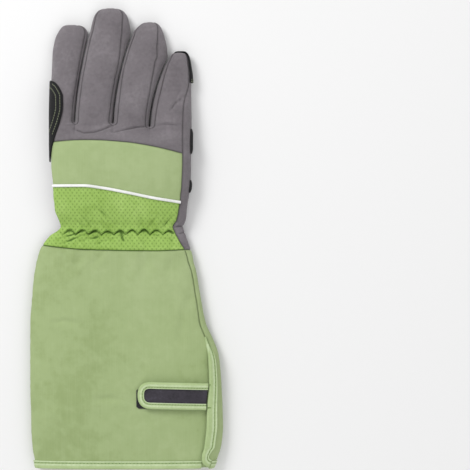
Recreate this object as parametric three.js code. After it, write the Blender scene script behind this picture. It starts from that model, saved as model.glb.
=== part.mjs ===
// Right-hand rose pruning gauntlet, lying palm down with its thumb tucked under the palm.
// Millimetres. +Y runs to the finger tips, -X is the thumb side, +Z is the back of the hand, Z = 0 the floor.
import * as THREE from 'three';

const { lerp, clamp, smoothstep } = THREE.MathUtils;

// Driving dimensions
const FINGER_LENGTH = 94.2; // crotch line to the tip of the middle finger
const HAND_LENGTH = 58.8; // piping to the crotch line
const WRIST_LENGTH = 46.5; // cuff seam to the piping
const CUFF_LENGTH = 180.5; // hem to the cuff seam
const HAND_WIDTH = 116;
const WRIST_WIDTH = 102;
const CUFF_WIDTH = 159.6;
const HAND_DEPTH = 27;
const WRIST_DEPTH = 16;
const CUFF_DEPTH = 17;
const FINGER_DEPTH = 13;
const THUMB_LENGTH = 56;
const THUMB_WIDTH = 29;
const THUMB_DEPTH = 9;
const THUMB_TURN = THREE.MathUtils.degToRad(40); // from +Y towards the little finger
const FABRIC_WALL = 1.2;
const CUFF_WALL = 1.3;
const PATCH_WALL = 1.0;
const TAPE_WALL = 0.6;
const SEAM_INSET = 2.5; // typical distance of a finger's seam from its side
const CROTCH_DEPTH = 3; // depth of the little U of cloth below each crotch
const TIP_ZONE = 45; // length of finger over which the tip rounds off in plan
const BINDING_WIDTH = 5.6;
const PIPING_WIDTH = 2.4;
const PIPING_HEIGHT = 1.7;
const SLIT_LENGTH = 108.6;
const SLIT_CORNER = 7; // radius of the slit's rounded corner at the hem
const UNDERLAP = 7; // how far the back of the cuff runs on under the bound edge
const STRAP_LENGTH = 57;
const STRAP_WIDTH = 22.4;
const STRAP_WALL = 1.4;
const STRAP_BINDING_WIDTH = 4.4;
const STRAP_FROM_HEM = 60.6;
const STRAP_SLOPE = 0.03; // fall of the strap towards its root
const HOOK_LENGTH = 24;
const HOOK_WIDTH = 16.5;
const HOOK_WALL = 0.8;
const SADDLE_LENGTH = 67;
const SADDLE_WIDTH = 11.3;
const FOLD_DEPTH = 1.6;
const GATHER_PITCH = 10.4;
const GATHER_DEPTH = 1.1;

// Clearances
const SEAM_GAP = 0.3;
const FABRIC_GAP = 0.8 * SEAM_GAP; // for the two largest panels of the hand
const VALLEY_GAP = 0.8; // between neighbouring fingers
const PATCH_GAP = 0.35;
const TAPE_GAP = 0.5;

// Shapes of the sections
const SIDE_LEVEL = 0.42; // height of a section's widest line, as a share of its depth
const BODY_ROUND = { power: 2.8, exponent: 0.45 };
const FINGER_ROUND = { power: 2.4, exponent: 0.5 };
const UNDER_ROUND = { power: 3.2, exponent: 0.5 };
const FLATTEN = 0.8; // how far a resting underside is pressed flat
const NOSE = 0.7; // share of the tip zone's root over which a finger tip closes in height
const FADE = 14; // length over which a crotch's dimple runs out on the back
const CROTCH_SINK = [1, 0.6, 0.35, 0.6, 1]; // depth of the U below a crotch, down the finger's side
const ROOT_SINK = 0.5; // share of a finger over which its underside comes down to the floor
const ROOT_RISE = 0.7; // share of a finger over which its back comes down to the finger's own depth
const WRAP_EASE = 0.6; // exponent by which the bound edge's lift turns upright
const WRAP_LIMIT = 0.6; // largest share of the wrapped cloth under the tape
const WRAP_PUSH = 0.7; // share of the half width from which the front makes room for the lift
const STRAP_ROUND = 2.4; // exponent of the strap's round end
const SHARPEST = 0.2; // floor of the squared cosine of half a corner's turn, where a panel's edge is drawn in
const THUMB_ROUND = { across: 0.8, rise: 0.7 }; // exponents of the thumb's oval section

// Stations along the glove
const BINDING_PROUD = TAPE_GAP + TAPE_WALL;
const PATCH_OUTER = PATCH_GAP + PATCH_WALL;
const TOTAL_LENGTH = CUFF_LENGTH + WRIST_LENGTH + HAND_LENGTH + FINGER_LENGTH;
const HEM_Y = -TOTAL_LENGTH / 2;
const CUFF_SEAM_Y = HEM_Y + CUFF_LENGTH;
const PIPING_Y = CUFF_SEAM_Y + WRIST_LENGTH;
const CROTCH_Y = PIPING_Y + HAND_LENGTH;
const WALL_HEM_Y = HEM_Y + BINDING_PROUD;
const SLIT_TOP_Y = HEM_Y + SLIT_LENGTH;
const SLIT_LIFT = CUFF_WALL + 2 * BINDING_PROUD + TAPE_GAP;
const SLIT_FADE = 3 * UNDERLAP; // length below the slit's top over which the lift and the underlap run out
const HEM_REST = 2 * BINDING_WIDTH; // length over which the cloth comes down from the hem's tape

const ZONES = {
  cuff: { start: WALL_HEM_Y, end: CUFF_SEAM_Y, width: CUFF_WIDTH, depth: CUFF_DEPTH },
  wrist: { start: CUFF_SEAM_Y, end: PIPING_Y, width: WRIST_WIDTH, depth: WRIST_DEPTH },
  hand: { start: PIPING_Y, end: CROTCH_Y, width: HAND_WIDTH, depth: HAND_DEPTH },
};

// Plan and height of the tube from the hem up. share: along the zone. left, right and side (the distance of
// the seam on the back from the right edge) are shares of the zone's width, top is a share of its depth.
const BODY = [
  { zone: 'cuff', share: 0, left: -0.468, right: 0.45, side: 0.052, top: 0.84 },
  { zone: 'cuff', share: 0.04, left: -0.478, right: 0.47, side: 0.07, top: 0.84 },
  { zone: 'cuff', share: 0.11, left: -0.49, right: 0.493, side: 0.08, top: 0.87 },
  { zone: 'cuff', share: 0.19, left: -0.495, right: 0.5, side: 0.077, top: 0.92 },
  { zone: 'cuff', share: 0.26, left: -0.496, right: 0.498, side: 0.073, top: 0.95 },
  { zone: 'cuff', share: 0.4, left: -0.5, right: 0.49, side: 0.053, top: 0.98 },
  { zone: 'cuff', share: 0.515, left: -0.5, right: 0.477, side: 0.046, top: 1 },
  { zone: 'cuff', share: 0.588, left: -0.5, right: 0.449, side: 0.036, top: 1 },
  { zone: 'cuff', share: 0.661, left: -0.5, right: 0.412, side: 0.03, top: 1 },
  { zone: 'cuff', share: 0.77, left: -0.491, right: 0.387, side: 0.023, top: 1 },
  { zone: 'cuff', share: 0.879, left: -0.479, right: 0.366, side: 0.022, top: 0.98 },
  { zone: 'cuff', share: 0.952, left: -0.464, right: 0.345, side: 0.024, top: 0.95 },
  { zone: 'cuff', share: 1, left: -0.447, right: 0.334, side: 0.0304, top: 0.9 },
  { zone: 'wrist', share: 0.097, left: -0.677, right: 0.508, side: 0.061, top: 0.93 },
  { zone: 'wrist', share: 0.248, left: -0.621, right: 0.483, side: 0.073, top: 0.88 },
  { zone: 'wrist', share: 0.31, left: -0.58, right: 0.472, side: 0.077, top: 0.84 },
  { zone: 'wrist', share: 0.4, left: -0.536, right: 0.46, side: 0.08, top: 0.88 },
  { zone: 'wrist', share: 0.522, left: -0.548, right: 0.483, side: 0.072, top: 1.03 },
  { zone: 'wrist', share: 0.664, left: -0.573, right: 0.492, side: 0.066, top: 1.18 },
  { zone: 'wrist', share: 0.805, left: -0.58, right: 0.5, side: 0.063, top: 1.3 },
  { zone: 'hand', share: 0, left: -0.517, right: 0.453, side: 0.061, top: 0.84 },
  { zone: 'hand', share: 0.1, left: -0.517, right: 0.458, side: 0.0603, top: 0.88 },
  { zone: 'hand', share: 0.4, left: -0.532, right: 0.465, side: 0.0603, top: 0.96 },
  { zone: 'hand', share: 0.7, left: -0.535, right: 0.465, side: 0.0603, top: 1 },
  { zone: 'hand', share: 1, left: -0.535, right: 0.465, side: 0.0603, top: 0.92 },
].map(({ zone, share, left, right, side, top }) => {
  const { start, end, width, depth } = ZONES[zone];
  return {
    at: lerp(start, end, share),
    left: left * width,
    right: right * width,
    side: side * width,
    top: top * depth,
  };
});

// Seam lines across the back. at: share of the hand's width from the centre line. rise: share of the length
// of the hand for the first two, and of the wrist for the third.
const KNUCKLE_SEAM = [
  { at: -0.535, rise: 0.71 },
  { at: -0.294, rise: 0.735 },
  { at: -0.184, rise: 0.731 },
  { at: 0.022, rise: 0.699 },
  { at: 0.197, rise: 0.643 },
  { at: 0.322, rise: 0.588 },
  { at: 0.41, rise: 0.545 },
];
const PIPING_SEAM = [
  { at: -0.52, rise: 0.099 },
  { at: -0.294, rise: 0.099 },
  { at: -0.17, rise: 0.07 },
  { at: 0.022, rise: 0 },
  { at: 0.197, rise: -0.07 },
  { at: 0.39, rise: -0.13 },
];
const CUFF_SEAM = [
  { at: -0.61, rise: 0.08 },
  { at: -0.484, rise: 0.039 },
  { at: -0.29, rise: 0 },
  { at: 0.195, rise: -0.022 },
  { at: 0.418, rise: 0 },
  { at: 0.46, rise: 0.01 },
];

// Valleys between the fingers. x and lean: shares of the hand's width. drop and length: shares of the finger
// length. bend: share of the lean that grows with the square of the height.
const VALLEYS = [
  { x: -0.363, drop: 0.004, length: 0.786, lean: 0.098, bend: 0.68 },
  { x: -0.093, drop: -0.004, length: 0.769, lean: 0.128, bend: 0.8 },
  { x: 0.1655, drop: -0.031, length: 0.593, lean: 0.133, bend: 0.84 },
];

// Fingers from the thumb side. reach: tip's share of the finger length. base: height of the back at the crotch
// as a share of the hand's depth. lift: height of the underside there as a share of the thumb's depth. thick:
// share of the finger's depth. tip: half widths left and right as shares of the half width, by the root of the
// distance below the tip. seams: distances of the seams on the back from the sides, in seam insets.
const FINGERS = [
  {
    reach: 0.8546,
    base: 0.78,
    lift: 0.75,
    thick: 0.96,
    tip: [
      { at: 0, left: 0.18, right: 0.18 },
      { at: 0.25, left: 0.5, right: 0.8 },
      { at: 0.5, left: 0.79, right: 1 },
      { at: 0.75, left: 0.95, right: 1 },
      { at: 1, left: 1, right: 1 },
    ],
    seams: [
      { at: 0, left: 0, right: 0.5 },
      { at: 0.5, left: 0, right: 0.5 },
      { at: 1, left: 0, right: 0.8 },
    ],
  },
  {
    reach: 1,
    base: 0.83,
    lift: 0.7,
    thick: 1.04,
    tip: [
      { at: 0, left: 0.085, right: 0.085 },
      { at: 0.25, left: 0.62, right: 0.64 },
      { at: 0.5, left: 0.87, right: 0.91 },
      { at: 0.75, left: 1, right: 1 },
      { at: 1, left: 1, right: 1 },
    ],
    seams: [
      { at: 0, left: 1.08, right: 0.84 },
      { at: 0.25, left: 1.05, right: 0.66 },
      { at: 0.45, left: 1, right: 0.72 },
      { at: 0.55, left: 0.97, right: 1 },
      { at: 0.66, left: 0.93, right: 1.76 },
      { at: 0.764, left: 0.9, right: 2.64 },
      { at: 0.904, left: 0.84, right: 1.8 },
      { at: 1, left: 0.8, right: 1 },
    ],
  },
  {
    reach: 0.879,
    base: 0.8,
    lift: 0.35,
    thick: 1,
    tip: [
      { at: 0, left: 0.08, right: 0.08 },
      { at: 0.25, left: 0.56, right: 0.52 },
      { at: 0.5, left: 0.97, right: 0.79 },
      { at: 0.75, left: 1, right: 0.98 },
      { at: 1, left: 1, right: 1 },
    ],
    seams: [
      { at: 0, left: 1.4, right: 0.96 },
      { at: 0.26, left: 1.4, right: 1.08 },
      { at: 0.39, left: 1.1, right: 1.6 },
      { at: 0.5, left: 0.84, right: 2.28 },
      { at: 0.62, left: 0.8, right: 3.24 },
      { at: 0.72, left: 0.8, right: 3.28 },
      { at: 0.825, left: 0.75, right: 2.32 },
      { at: 1, left: 0.6, right: 1 },
    ],
  },
  {
    reach: 0.6104,
    base: 0.72,
    lift: 0.2,
    thick: 0.92,
    tip: [
      { at: 0, left: 0.24, right: 0.24 },
      { at: 0.25, left: 0.82, right: 0.61 },
      { at: 0.5, left: 1, right: 0.86 },
      { at: 0.75, left: 1, right: 1 },
      { at: 1, left: 1, right: 1 },
    ],
    seams: [
      { at: 0, left: 1.6, right: 2.8 },
      { at: 0.27, left: 1.76, right: 2.5 },
      { at: 0.43, left: 1.76, right: 1.6 },
      { at: 0.565, left: 1.56, right: 0.8 },
      { at: 0.8, left: 0.9, right: 0.4 },
      { at: 1, left: 0.5, right: 0.3 },
    ],
  },
];
const BOTTOM_INSET = 1.2; // seams under a finger, in seam insets
const LAST = FINGERS.length - 1;

// Soft folds. x: share of the hand's width, y: share of the named zone, depth: in fold depths, and half sizes
// across and along as shares of the hand's width.
const FOLDS = [
  { zone: 'hand', x: -0.2, y: 0.86, depth: 0.9, wide: 0.13, long: 0.022 },
  { zone: 'hand', x: 0.07, y: 0.88, depth: 0.8, wide: 0.11, long: 0.02 },
  { zone: 'hand', x: 0.33, y: 0.9, depth: 0.6, wide: 0.08, long: 0.02 },
  { zone: 'cuff', x: -0.44, y: 0.95, depth: 1, wide: 0.04, long: 0.09 },
  { zone: 'cuff', x: 0.13, y: 0.95, depth: 1.1, wide: 0.05, long: 0.1 },
  { zone: 'cuff', x: 0.32, y: 0.93, depth: 0.7, wide: 0.05, long: 0.07 },
  { zone: 'cuff', x: -0.42, y: 0.66, depth: 0.5, wide: 0.09, long: 0.025 },
  { zone: 'cuff', x: -0.1, y: 0.32, depth: 0.4, wide: 0.12, long: 0.03 },
].map(({ zone, x, y, depth, wide, long }) => ({
  x: x * HAND_WIDTH,
  y: lerp(ZONES[zone].start, ZONES[zone].end, y),
  depth: depth * FOLD_DEPTH,
  wide: wide * HAND_WIDTH,
  long: long * HAND_WIDTH,
}));
const GATHER_Y = lerp(CUFF_SEAM_Y, PIPING_Y, 0.32);
const GATHER_REACH = 5;

// Outline of the black saddle patch on the back: width by share of its length from its lower end.
const SADDLE = [
  { at: 0, width: 0.03 },
  { at: 0.16, width: 0.17 },
  { at: 0.32, width: 0.45 },
  { at: 0.5, width: 0.8 },
  { at: 0.66, width: 0.98 },
  { at: 0.8, width: 0.96 },
  { at: 0.9, width: 0.72 },
  { at: 0.97, width: 0.4 },
  { at: 1, width: 0.08 },
];
const SADDLE_START_Y = lerp(PIPING_Y, CROTCH_Y, 0.434);

// Sections of the thumb from its heel. width and depth: shares of the thumb's width and depth.
const THUMB = [
  { at: 0, width: 0, depth: 0 },
  { at: 0.05, width: 0.55, depth: 0.6 },
  { at: 0.15, width: 0.85, depth: 0.92 },
  { at: 0.3, width: 1, depth: 1 },
  { at: 0.45, width: 1, depth: 1 },
  { at: 0.65, width: 0.97, depth: 0.98 },
  { at: 0.82, width: 0.88, depth: 0.93 },
  { at: 0.94, width: 0.62, depth: 0.72 },
  { at: 1, width: 0, depth: 0 },
];
const THUMB_HEEL = { x: -0.397 * HAND_WIDTH, y: lerp(PIPING_Y, CROTCH_Y, 0) };
const THUMB_CLEARANCE = 0.5;
const THUMB_MARGIN = 2.5; // flat cloth beside the thumb before the palm falls to the floor
const THUMB_SLOPE = 13; // length of that fall

// Rows and columns of the surface grids
const TIP_ROWS = [0, 0.15, 0.32, 0.52, 0.75, 1];
const SHAFT_ROWS = [0.34, 0.67, 1];
const CROTCH_TURNS = [0, 45, 90, 135, 180];
const BACK_ROWS = [0.33, 0.67, 1];
const BAND_ROWS = [0.27, 0.54, 0.8, 1];
const WRIST_ROWS = [0.2, 0.4, 0.54, 0.64, 0.74, 0.86, 1];
const SIDE_STEPS = [0, 0.65, 1, 0.65, 0];
const EDGE_COLUMNS = [0, 0.07, 0.25, 0.5, 0.77, 1];
const FINGER_COLUMNS = [0, 0.17, 0.39, 0.61, 0.83, 1];

const within = (value, [first, last]) => value >= first && value <= last;

// Value of a column between the rows of a table, on a smooth curve that never overshoots its rows.
function read(rows, at, column) {
  const last = rows.length - 1;
  if (at <= rows[0].at) return rows[0][column];
  if (at >= rows[last].at) return rows[last][column];
  const i = rows.findIndex((row) => row.at > at) - 1;
  const slope = (a) => (rows[a + 1][column] - rows[a][column]) / (rows[a + 1].at - rows[a].at);
  const tangent = (a) => {
    if (a === 0 || a === last) return slope(Math.min(a, last - 1));
    const before = slope(a - 1);
    const after = slope(a);
    return before * after <= 0 ? 0 : (2 * before * after) / (before + after);
  };
  const span = rows[i + 1].at - rows[i].at;
  const t = (at - rows[i].at) / span;
  const start = rows[i][column] + t * t * (3 - 2 * t) * (rows[i + 1][column] - rows[i][column]);
  return start + span * t * (1 - t) * ((1 - t) * tangent(i) - t * tangent(i + 1));
}

// Rounded fall from 1 in the middle of a section to 0 at its sides, u = -1 and 1.
function dome(u, { power, exponent }) {
  return Math.max(0, 1 - Math.abs(u) ** power) ** exponent;
}

// How far the bound edge of the slit is lifted over the back at a height along the cuff, from 0 to 1.
function slitRamp(y) {
  return 1 - smoothstep(y, SLIT_TOP_Y - SLIT_FADE, SLIT_TOP_Y);
}

// How far the back's edge stands off for the tape, from 0 above the slit to 1 along it.
function slitOpen(y) {
  return 1 - smoothstep(y, SLIT_TOP_Y, SLIT_TOP_Y + UNDERLAP);
}

function underside(x, y) {
  const padRise = PATCH_OUTER * smoothstep(y, (CUFF_SEAM_Y + PIPING_Y) / 2, PIPING_Y);
  const tapeRise = BINDING_PROUD * (1 - smoothstep(y, HEM_Y + HEM_REST, HEM_Y + 2 * HEM_REST));
  const rest = padRise + tapeRise;
  const dx = x - THUMB_HEEL.x;
  const dy = y - THUMB_HEEL.y;
  const along = clamp(dx * Math.sin(THUMB_TURN) + dy * Math.cos(THUMB_TURN), 0, THUMB_LENGTH);
  const away = Math.hypot(dx - along * Math.sin(THUMB_TURN), dy - along * Math.cos(THUMB_TURN));
  const plateau = THUMB_WIDTH / 2 + THUMB_MARGIN;
  const cover = 1 - smoothstep(away, plateau, plateau + THUMB_SLOPE);
  return lerp(rest, THUMB_DEPTH + THUMB_CLEARANCE, cover);
}

function bodySection(y) {
  const left = read(BODY, y, 'left');
  const edge = read(BODY, y, 'right');
  const right = edge - SLIT_LIFT * slitRamp(y);
  const top = read(BODY, y, 'top');
  const centre = (left + right) / 2;
  const half = (right - left) / 2;
  return { left, right, edge, centre, half, top, seam: edge - read(BODY, y, 'side') };
}

function bodyLevel(section, x, y) {
  const t = clamp((x - section.left) / (2 * section.half), 0, 1);
  const leftLevel = lerp(underside(section.left, y), section.top, SIDE_LEVEL);
  const rightLevel = lerp(underside(section.right, y), section.top, SIDE_LEVEL);
  return lerp(leftLevel, rightLevel, t);
}

function foldAt(x, y) {
  return FOLDS.reduce((depth, fold) => {
    const away = ((x - fold.x) / fold.wide) ** 2 + ((y - fold.y) / fold.long) ** 2;
    return depth + fold.depth * Math.exp(-away);
  }, 0);
}

function gatherAt(x, y) {
  const phase = (2 * Math.PI * x) / GATHER_PITCH;
  const ridge = Math.exp(-(((y - GATHER_Y) / GATHER_REACH) ** 2));
  const flare = Math.exp(-(((y - GATHER_Y) / (3 * GATHER_REACH)) ** 2));
  const pleat = ridge * Math.cos(phase + (y - GATHER_Y) / GATHER_REACH);
  return GATHER_DEPTH * (pleat + 0.5 * flare * Math.sin(phase / 2));
}

function bodyTop(x, y) {
  const section = bodySection(y);
  const level = bodyLevel(section, x, y);
  const rise = dome((x - section.centre) / section.half, BODY_ROUND);
  return level + (section.top - level - foldAt(x, y)) * rise;
}

function bodyBottom(x, y) {
  const section = bodySection(y);
  const level = bodyLevel(section, x, y);
  const floor = underside(x, y);
  const drop = dome((x - section.centre) / section.half, UNDER_ROUND);
  return Math.max(floor, level - (level - floor + FLATTEN) * drop);
}

function seamY(seam, length, from, x) {
  return from + length * read(seam, x / HAND_WIDTH, 'rise');
}

function valleyBase(m) {
  return { x: VALLEYS[m].x * HAND_WIDTH, y: CROTCH_Y + VALLEYS[m].drop * FINGER_LENGTH };
}

function valleyX(m, y) {
  const { lean, bend, length } = VALLEYS[m];
  const base = valleyBase(m);
  const t = clamp((y - base.y) / (length * FINGER_LENGTH), 0, 1);
  return base.x + lean * HAND_WIDTH * ((1 - bend) * t + bend * t * t);
}

function tipY(k) {
  return CROTCH_Y + FINGERS[k].reach * FINGER_LENGTH;
}

// Height along the glove of finger k's crotch line, at share t across the finger.
function crotchY(k, t) {
  const leftY = valleyBase(Math.max(k - 1, 0)).y;
  const rightY = valleyBase(Math.min(k, LAST - 1)).y;
  return lerp(leftY, rightY, t);
}

// Section of finger k: sides, seams on the back and under the finger, and heights.
function fingerSection(k, y) {
  const finger = FINGERS[k];
  const body = bodySection(CROTCH_Y);
  const leftLine = k === 0 ? body.left : valleyX(k - 1, y) + VALLEY_GAP / 2;
  const rightLine = k === LAST ? body.edge : valleyX(k, y) - VALLEY_GAP / 2;
  const centre = (leftLine + rightLine) / 2;
  const half = (rightLine - leftLine) / 2;
  const root = Math.sqrt(clamp((tipY(k) - y) / TIP_ZONE, 0, 1));
  const left = centre - half * read(finger.tip, root, 'left');
  const right = centre + half * read(finger.tip, root, 'right');
  const share = clamp((y - crotchY(k, 0.5)) / (tipY(k) - crotchY(k, 0.5)), 0, 1);
  const fade = SEAM_INSET * Math.min(1, root / 0.5);
  const patched = k === LAST ? PATCH_OUTER : 0;
  const bottom = lerp(finger.lift * THUMB_DEPTH, patched, smoothstep(share, 0, ROOT_SINK));
  const tipTop = bottom + finger.thick * FINGER_DEPTH;
  const raised = lerp(finger.base * HAND_DEPTH, tipTop, smoothstep(share, 0, ROOT_RISE));
  const level = lerp(bottom, raised, SIDE_LEVEL);
  const nose = Math.sin((Math.PI / 2) * Math.min(1, root / NOSE));
  return {
    left,
    right,
    middle: (left + right) / 2,
    half: (right - left) / 2,
    backLeft: left + fade * read(finger.seams, share, 'left'),
    backRight: right - fade * read(finger.seams, share, 'right'),
    underLeft: k === 0 ? left : left + fade * BOTTOM_INSET,
    underRight: right - fade * BOTTOM_INSET,
    level,
    top: level + (raised - level) * nose,
    bottom: level - (level - bottom) * nose,
  };
}

function fingerTop(section, x) {
  const rise = dome((x - section.middle) / section.half, FINGER_ROUND);
  return section.level + (section.top - section.level) * rise;
}

function fingerBottom(section, x) {
  const reach = section.level - section.bottom;
  const drop = dome((x - section.middle) / section.half, UNDER_ROUND) * (1 + FLATTEN / (reach + FLATTEN));
  return section.level - reach * Math.min(1, drop);
}

// Five points down a finger's side: seam on the back, round the widest line, seam under the finger.
function sidePoints(section, y, side) {
  const edge = side === 'left' ? section.left : section.right;
  const back = side === 'left' ? section.backLeft : section.backRight;
  const under = side === 'left' ? section.underLeft : section.underRight;
  return SIDE_STEPS.map((step, j) => {
    const x = lerp(j < 2 ? back : under, edge, step);
    const z = j < 2 ? fingerTop(section, x) : fingerBottom(section, x);
    return new THREE.Vector3(x, y, step === 1 ? section.level : z);
  });
}

// A surface of labelled faces. Points that meet are shared, so neighbouring panels get parallel edges.
class Skin {
  constructor() {
    this.points = [];
    this.index = new Map();
    this.faces = [];
  }

  add(point) {
    const key = [point.x, point.y, point.z].map((value) => Math.round(value * 2000)).join();
    if (!this.index.has(key)) {
      this.index.set(key, this.points.length);
      this.points.push(point);
    }
    return this.index.get(key);
  }

  // Rows of points become faces; labelOf(i, j) names the panel of the face after row i and column j.
  grid(rows, labelOf, flip = false) {
    const ids = rows.map((row) => row.map((point) => this.add(point)));
    for (let i = 0; i + 1 < ids.length; i += 1) {
      for (let j = 0; j + 1 < ids[i].length; j += 1) {
        const label = labelOf(i, j);
        const quad = [ids[i][j], ids[i][j + 1], ids[i + 1][j + 1], ids[i + 1][j]];
        if (flip) quad.reverse();
        this.face(label, i, j, quad[0], quad[1], quad[2]);
        this.face(label, i, j, quad[0], quad[2], quad[3]);
      }
    }
  }

  face(label, row, column, a, b, c) {
    if (a === b || b === c || c === a) return;
    this.faces.push({ label, row, column, ids: [a, b, c] });
  }

  faceNormal({ ids: [a, b, c] }) {
    const ab = this.points[b].clone().sub(this.points[a]);
    const ac = this.points[c].clone().sub(this.points[a]);
    return ab.cross(ac);
  }

  normals() {
    const sums = this.points.map(() => new THREE.Vector3());
    for (const face of this.faces) {
      const normal = this.faceNormal(face);
      const length = normal.length();
      if (length > 0) face.ids.forEach((id) => sums[id].addScaledVector(normal, 1 / Math.sqrt(length)));
    }
    return sums.map((sum) => sum.normalize());
  }

  // Closed solid of the named faces, from outer to outer - wall along the normals, drawn in by gap at its edges.
  shell(chosen, { wall, outer = 0, gap = SEAM_GAP / 2 }) {
    const faces = this.faces.filter(chosen);
    const normals = this.normals();
    const inward = new Map();
    const sidesOf = ({ ids: [a, b, c] }) => [`${a},${b}`, `${b},${c}`, `${c},${a}`];
    const directed = new Set(faces.flatMap(sidesOf));
    const rim = [];
    for (const face of faces) {
      const [a, b, c] = face.ids;
      const normal = this.faceNormal(face).normalize();
      for (const [from, to] of [[a, b], [b, c], [c, a]]) {
        if (directed.has(`${to},${from}`)) continue;
        rim.push([from, to]);
        const along = this.points[to].clone().sub(this.points[from]).normalize();
        const into = normal.clone().cross(along);
        for (const id of [from, to]) inward.set(id, [...(inward.get(id) ?? []), into]);
      }
    }
    const slot = new Map();
    const position = [];
    for (const id of faces.flatMap(({ ids }) => ids)) {
      if (slot.has(id)) continue;
      slot.set(id, slot.size);
      const shift = new THREE.Vector3();
      const intos = inward.get(id) ?? [];
      if (intos.length > 0) {
        intos.forEach((into) => shift.add(into));
        const meet = intos.length > 1 ? intos[0].dot(intos[1]) : 1;
        shift.setLength(gap / Math.sqrt(Math.max(SHARPEST, (1 + meet) / 2)));
      }
      for (const offset of [outer, outer - wall]) {
        const point = this.points[id].clone().add(shift).addScaledVector(normals[id], offset);
        position.push(point.x, point.y, point.z);
      }
    }
    const triangles = [];
    for (const { ids } of faces) {
      const [a, b, c] = ids.map((id) => 2 * slot.get(id));
      triangles.push(a, b, c, a + 1, c + 1, b + 1);
    }
    for (const [from, to] of rim) {
      const a = 2 * slot.get(from);
      const b = 2 * slot.get(to);
      triangles.push(a, a + 1, b + 1, a, b + 1, b);
    }
    return solid(position, triangles);
  }
}

function solid(position, triangles) {
  const geometry = new THREE.BufferGeometry();
  geometry.setAttribute('position', new THREE.Float32BufferAttribute(position, 3));
  geometry.setIndex(triangles);
  geometry.computeVertexNormals();
  return geometry;
}

// Closed bar through rings of points; caps lists the quads that close a ring.
function sweep(rings, caps) {
  const count = rings[0].length;
  const position = rings.flat().flatMap((point) => [point.x, point.y, point.z]);
  const triangles = [];
  for (let i = 0; i + 1 < rings.length; i += 1) {
    for (let j = 0; j < count; j += 1) {
      const a = i * count + j;
      const b = i * count + ((j + 1) % count);
      triangles.push(a, b, b + count, a, b + count, a + count);
    }
  }
  const last = (rings.length - 1) * count;
  for (const [a, b, c, d] of caps) {
    triangles.push(a, c, b, a, d, c);
    triangles.push(last + a, last + b, last + c, last + a, last + c, last + d);
  }
  return solid(position, triangles);
}

// Tape folded round an edge. Each station has its edge and a far point on the surface, their normals, and out,
// the direction off the edge.
function foldedTape(stations, wall) {
  const over = BINDING_PROUD;
  const rings = stations.map(({ edge, far, up, farUp, out }) => {
    const square = up.clone().addScaledVector(out, -up.dot(out)).normalize();
    const at = (point, normal, rise, push) =>
      point.clone().addScaledVector(normal, rise).addScaledVector(out, push);
    return [
      at(far, farUp, TAPE_GAP, 0),
      at(edge, square, TAPE_GAP, TAPE_GAP),
      at(edge, square, -wall - TAPE_GAP, TAPE_GAP),
      at(far, farUp, -wall - TAPE_GAP, 0),
      at(far, farUp, -wall - over, 0),
      at(edge, square, -wall - over, over),
      at(edge, square, over, over),
      at(far, farUp, over, 0),
    ];
  });
  return sweep(rings, [[0, 1, 6, 7], [1, 2, 5, 6], [2, 3, 4, 5]]);
}

// The small U of cloth below each crotch, from the finger before it to the finger after it.
const CROTCHES = VALLEYS.map((_, m) => {
  const { y } = valleyBase(m);
  const before = sidePoints(fingerSection(m, y), y, 'right');
  const after = sidePoints(fingerSection(m + 1, y), y, 'left');
  const rings = CROTCH_TURNS.map((degrees) => {
    const turn = THREE.MathUtils.degToRad(degrees);
    return before.map((point, j) => {
      const middle = point.clone().lerp(after[j], 0.5);
      const across = point.clone().sub(middle).multiplyScalar(Math.cos(turn));
      const sink = new THREE.Vector3(0, -CROTCH_DEPTH * CROTCH_SINK[j] * Math.sin(turn), 0);
      return middle.add(across).add(sink);
    });
  });
  return { y, rings };
});
const SIDE_END = sidePoints(fingerSection(LAST, crotchY(LAST, 1)), crotchY(LAST, 1), 'right');
const BACK_POINT = 0; // index of the side point at the seam on the back
const UNDER_POINT = 4; // index of the side point at the seam under the finger
const MIDDLE_RING = 2; // index of the crotch's ring at the bottom of its U

// Places of the crotches across the body, as shares of the way from its left side to its seam.
function sharesAcross(level) {
  return CROTCHES.map(({ rings }) => {
    const point = rings[MIDDLE_RING][level];
    const section = bodySection(point.y);
    return (point.x - section.left) / (section.seam - section.left);
  });
}
const BACK_SHARES = [0, ...sharesAcross(BACK_POINT), 1];
const UNDER_SHARES = [0, ...sharesAcross(UNDER_POINT), 1];

// Heights along the glove of the grid rows below the crotches, at strip k and share t across it.
const BODY_ROWS = [
  { zone: 'crotch', share: 0 },
  { zone: 'crotch', share: Math.SQRT1_2 },
  { zone: 'crotch', share: 1 },
  ...BACK_ROWS.map((share) => ({ zone: 'back', share })),
  ...BAND_ROWS.map((share) => ({ zone: 'band', share })),
  ...WRIST_ROWS.map((share) => ({ zone: 'wrist', share })),
];
const ROWS_TO_KNUCKLES = MIDDLE_RING + BACK_ROWS.length;
const ROWS_TO_PIPING = ROWS_TO_KNUCKLES + BAND_ROWS.length;

function rowY(k, t, row) {
  const { zone, share } = BODY_ROWS[row];
  const across = lerp(BACK_SHARES[k], BACK_SHARES[k + 1], t);
  const xAt = (y) => {
    const section = bodySection(y);
    return lerp(section.left, section.seam, across);
  };
  const crotch = crotchY(k, t);
  const knuckles = seamY(KNUCKLE_SEAM, HAND_LENGTH, PIPING_Y, xAt(lerp(PIPING_Y, CROTCH_Y, 0.7)));
  const piping = seamY(PIPING_SEAM, HAND_LENGTH, PIPING_Y, xAt(PIPING_Y));
  const cuff = seamY(CUFF_SEAM, WRIST_LENGTH, CUFF_SEAM_Y, xAt(CUFF_SEAM_Y));
  if (zone === 'crotch') return crotch - CROTCH_DEPTH * share;
  if (zone === 'back') return lerp(crotch - CROTCH_DEPTH, knuckles, share);
  if (zone === 'band') return lerp(knuckles, piping, share);
  return lerp(piping, cuff, share);
}

// How much of the finger's section is left at a height below the crotch.
function fingerPart(k, t, y) {
  return 1 - smoothstep(crotchY(k, t) - CROTCH_DEPTH - y, 0, FADE);
}

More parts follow.
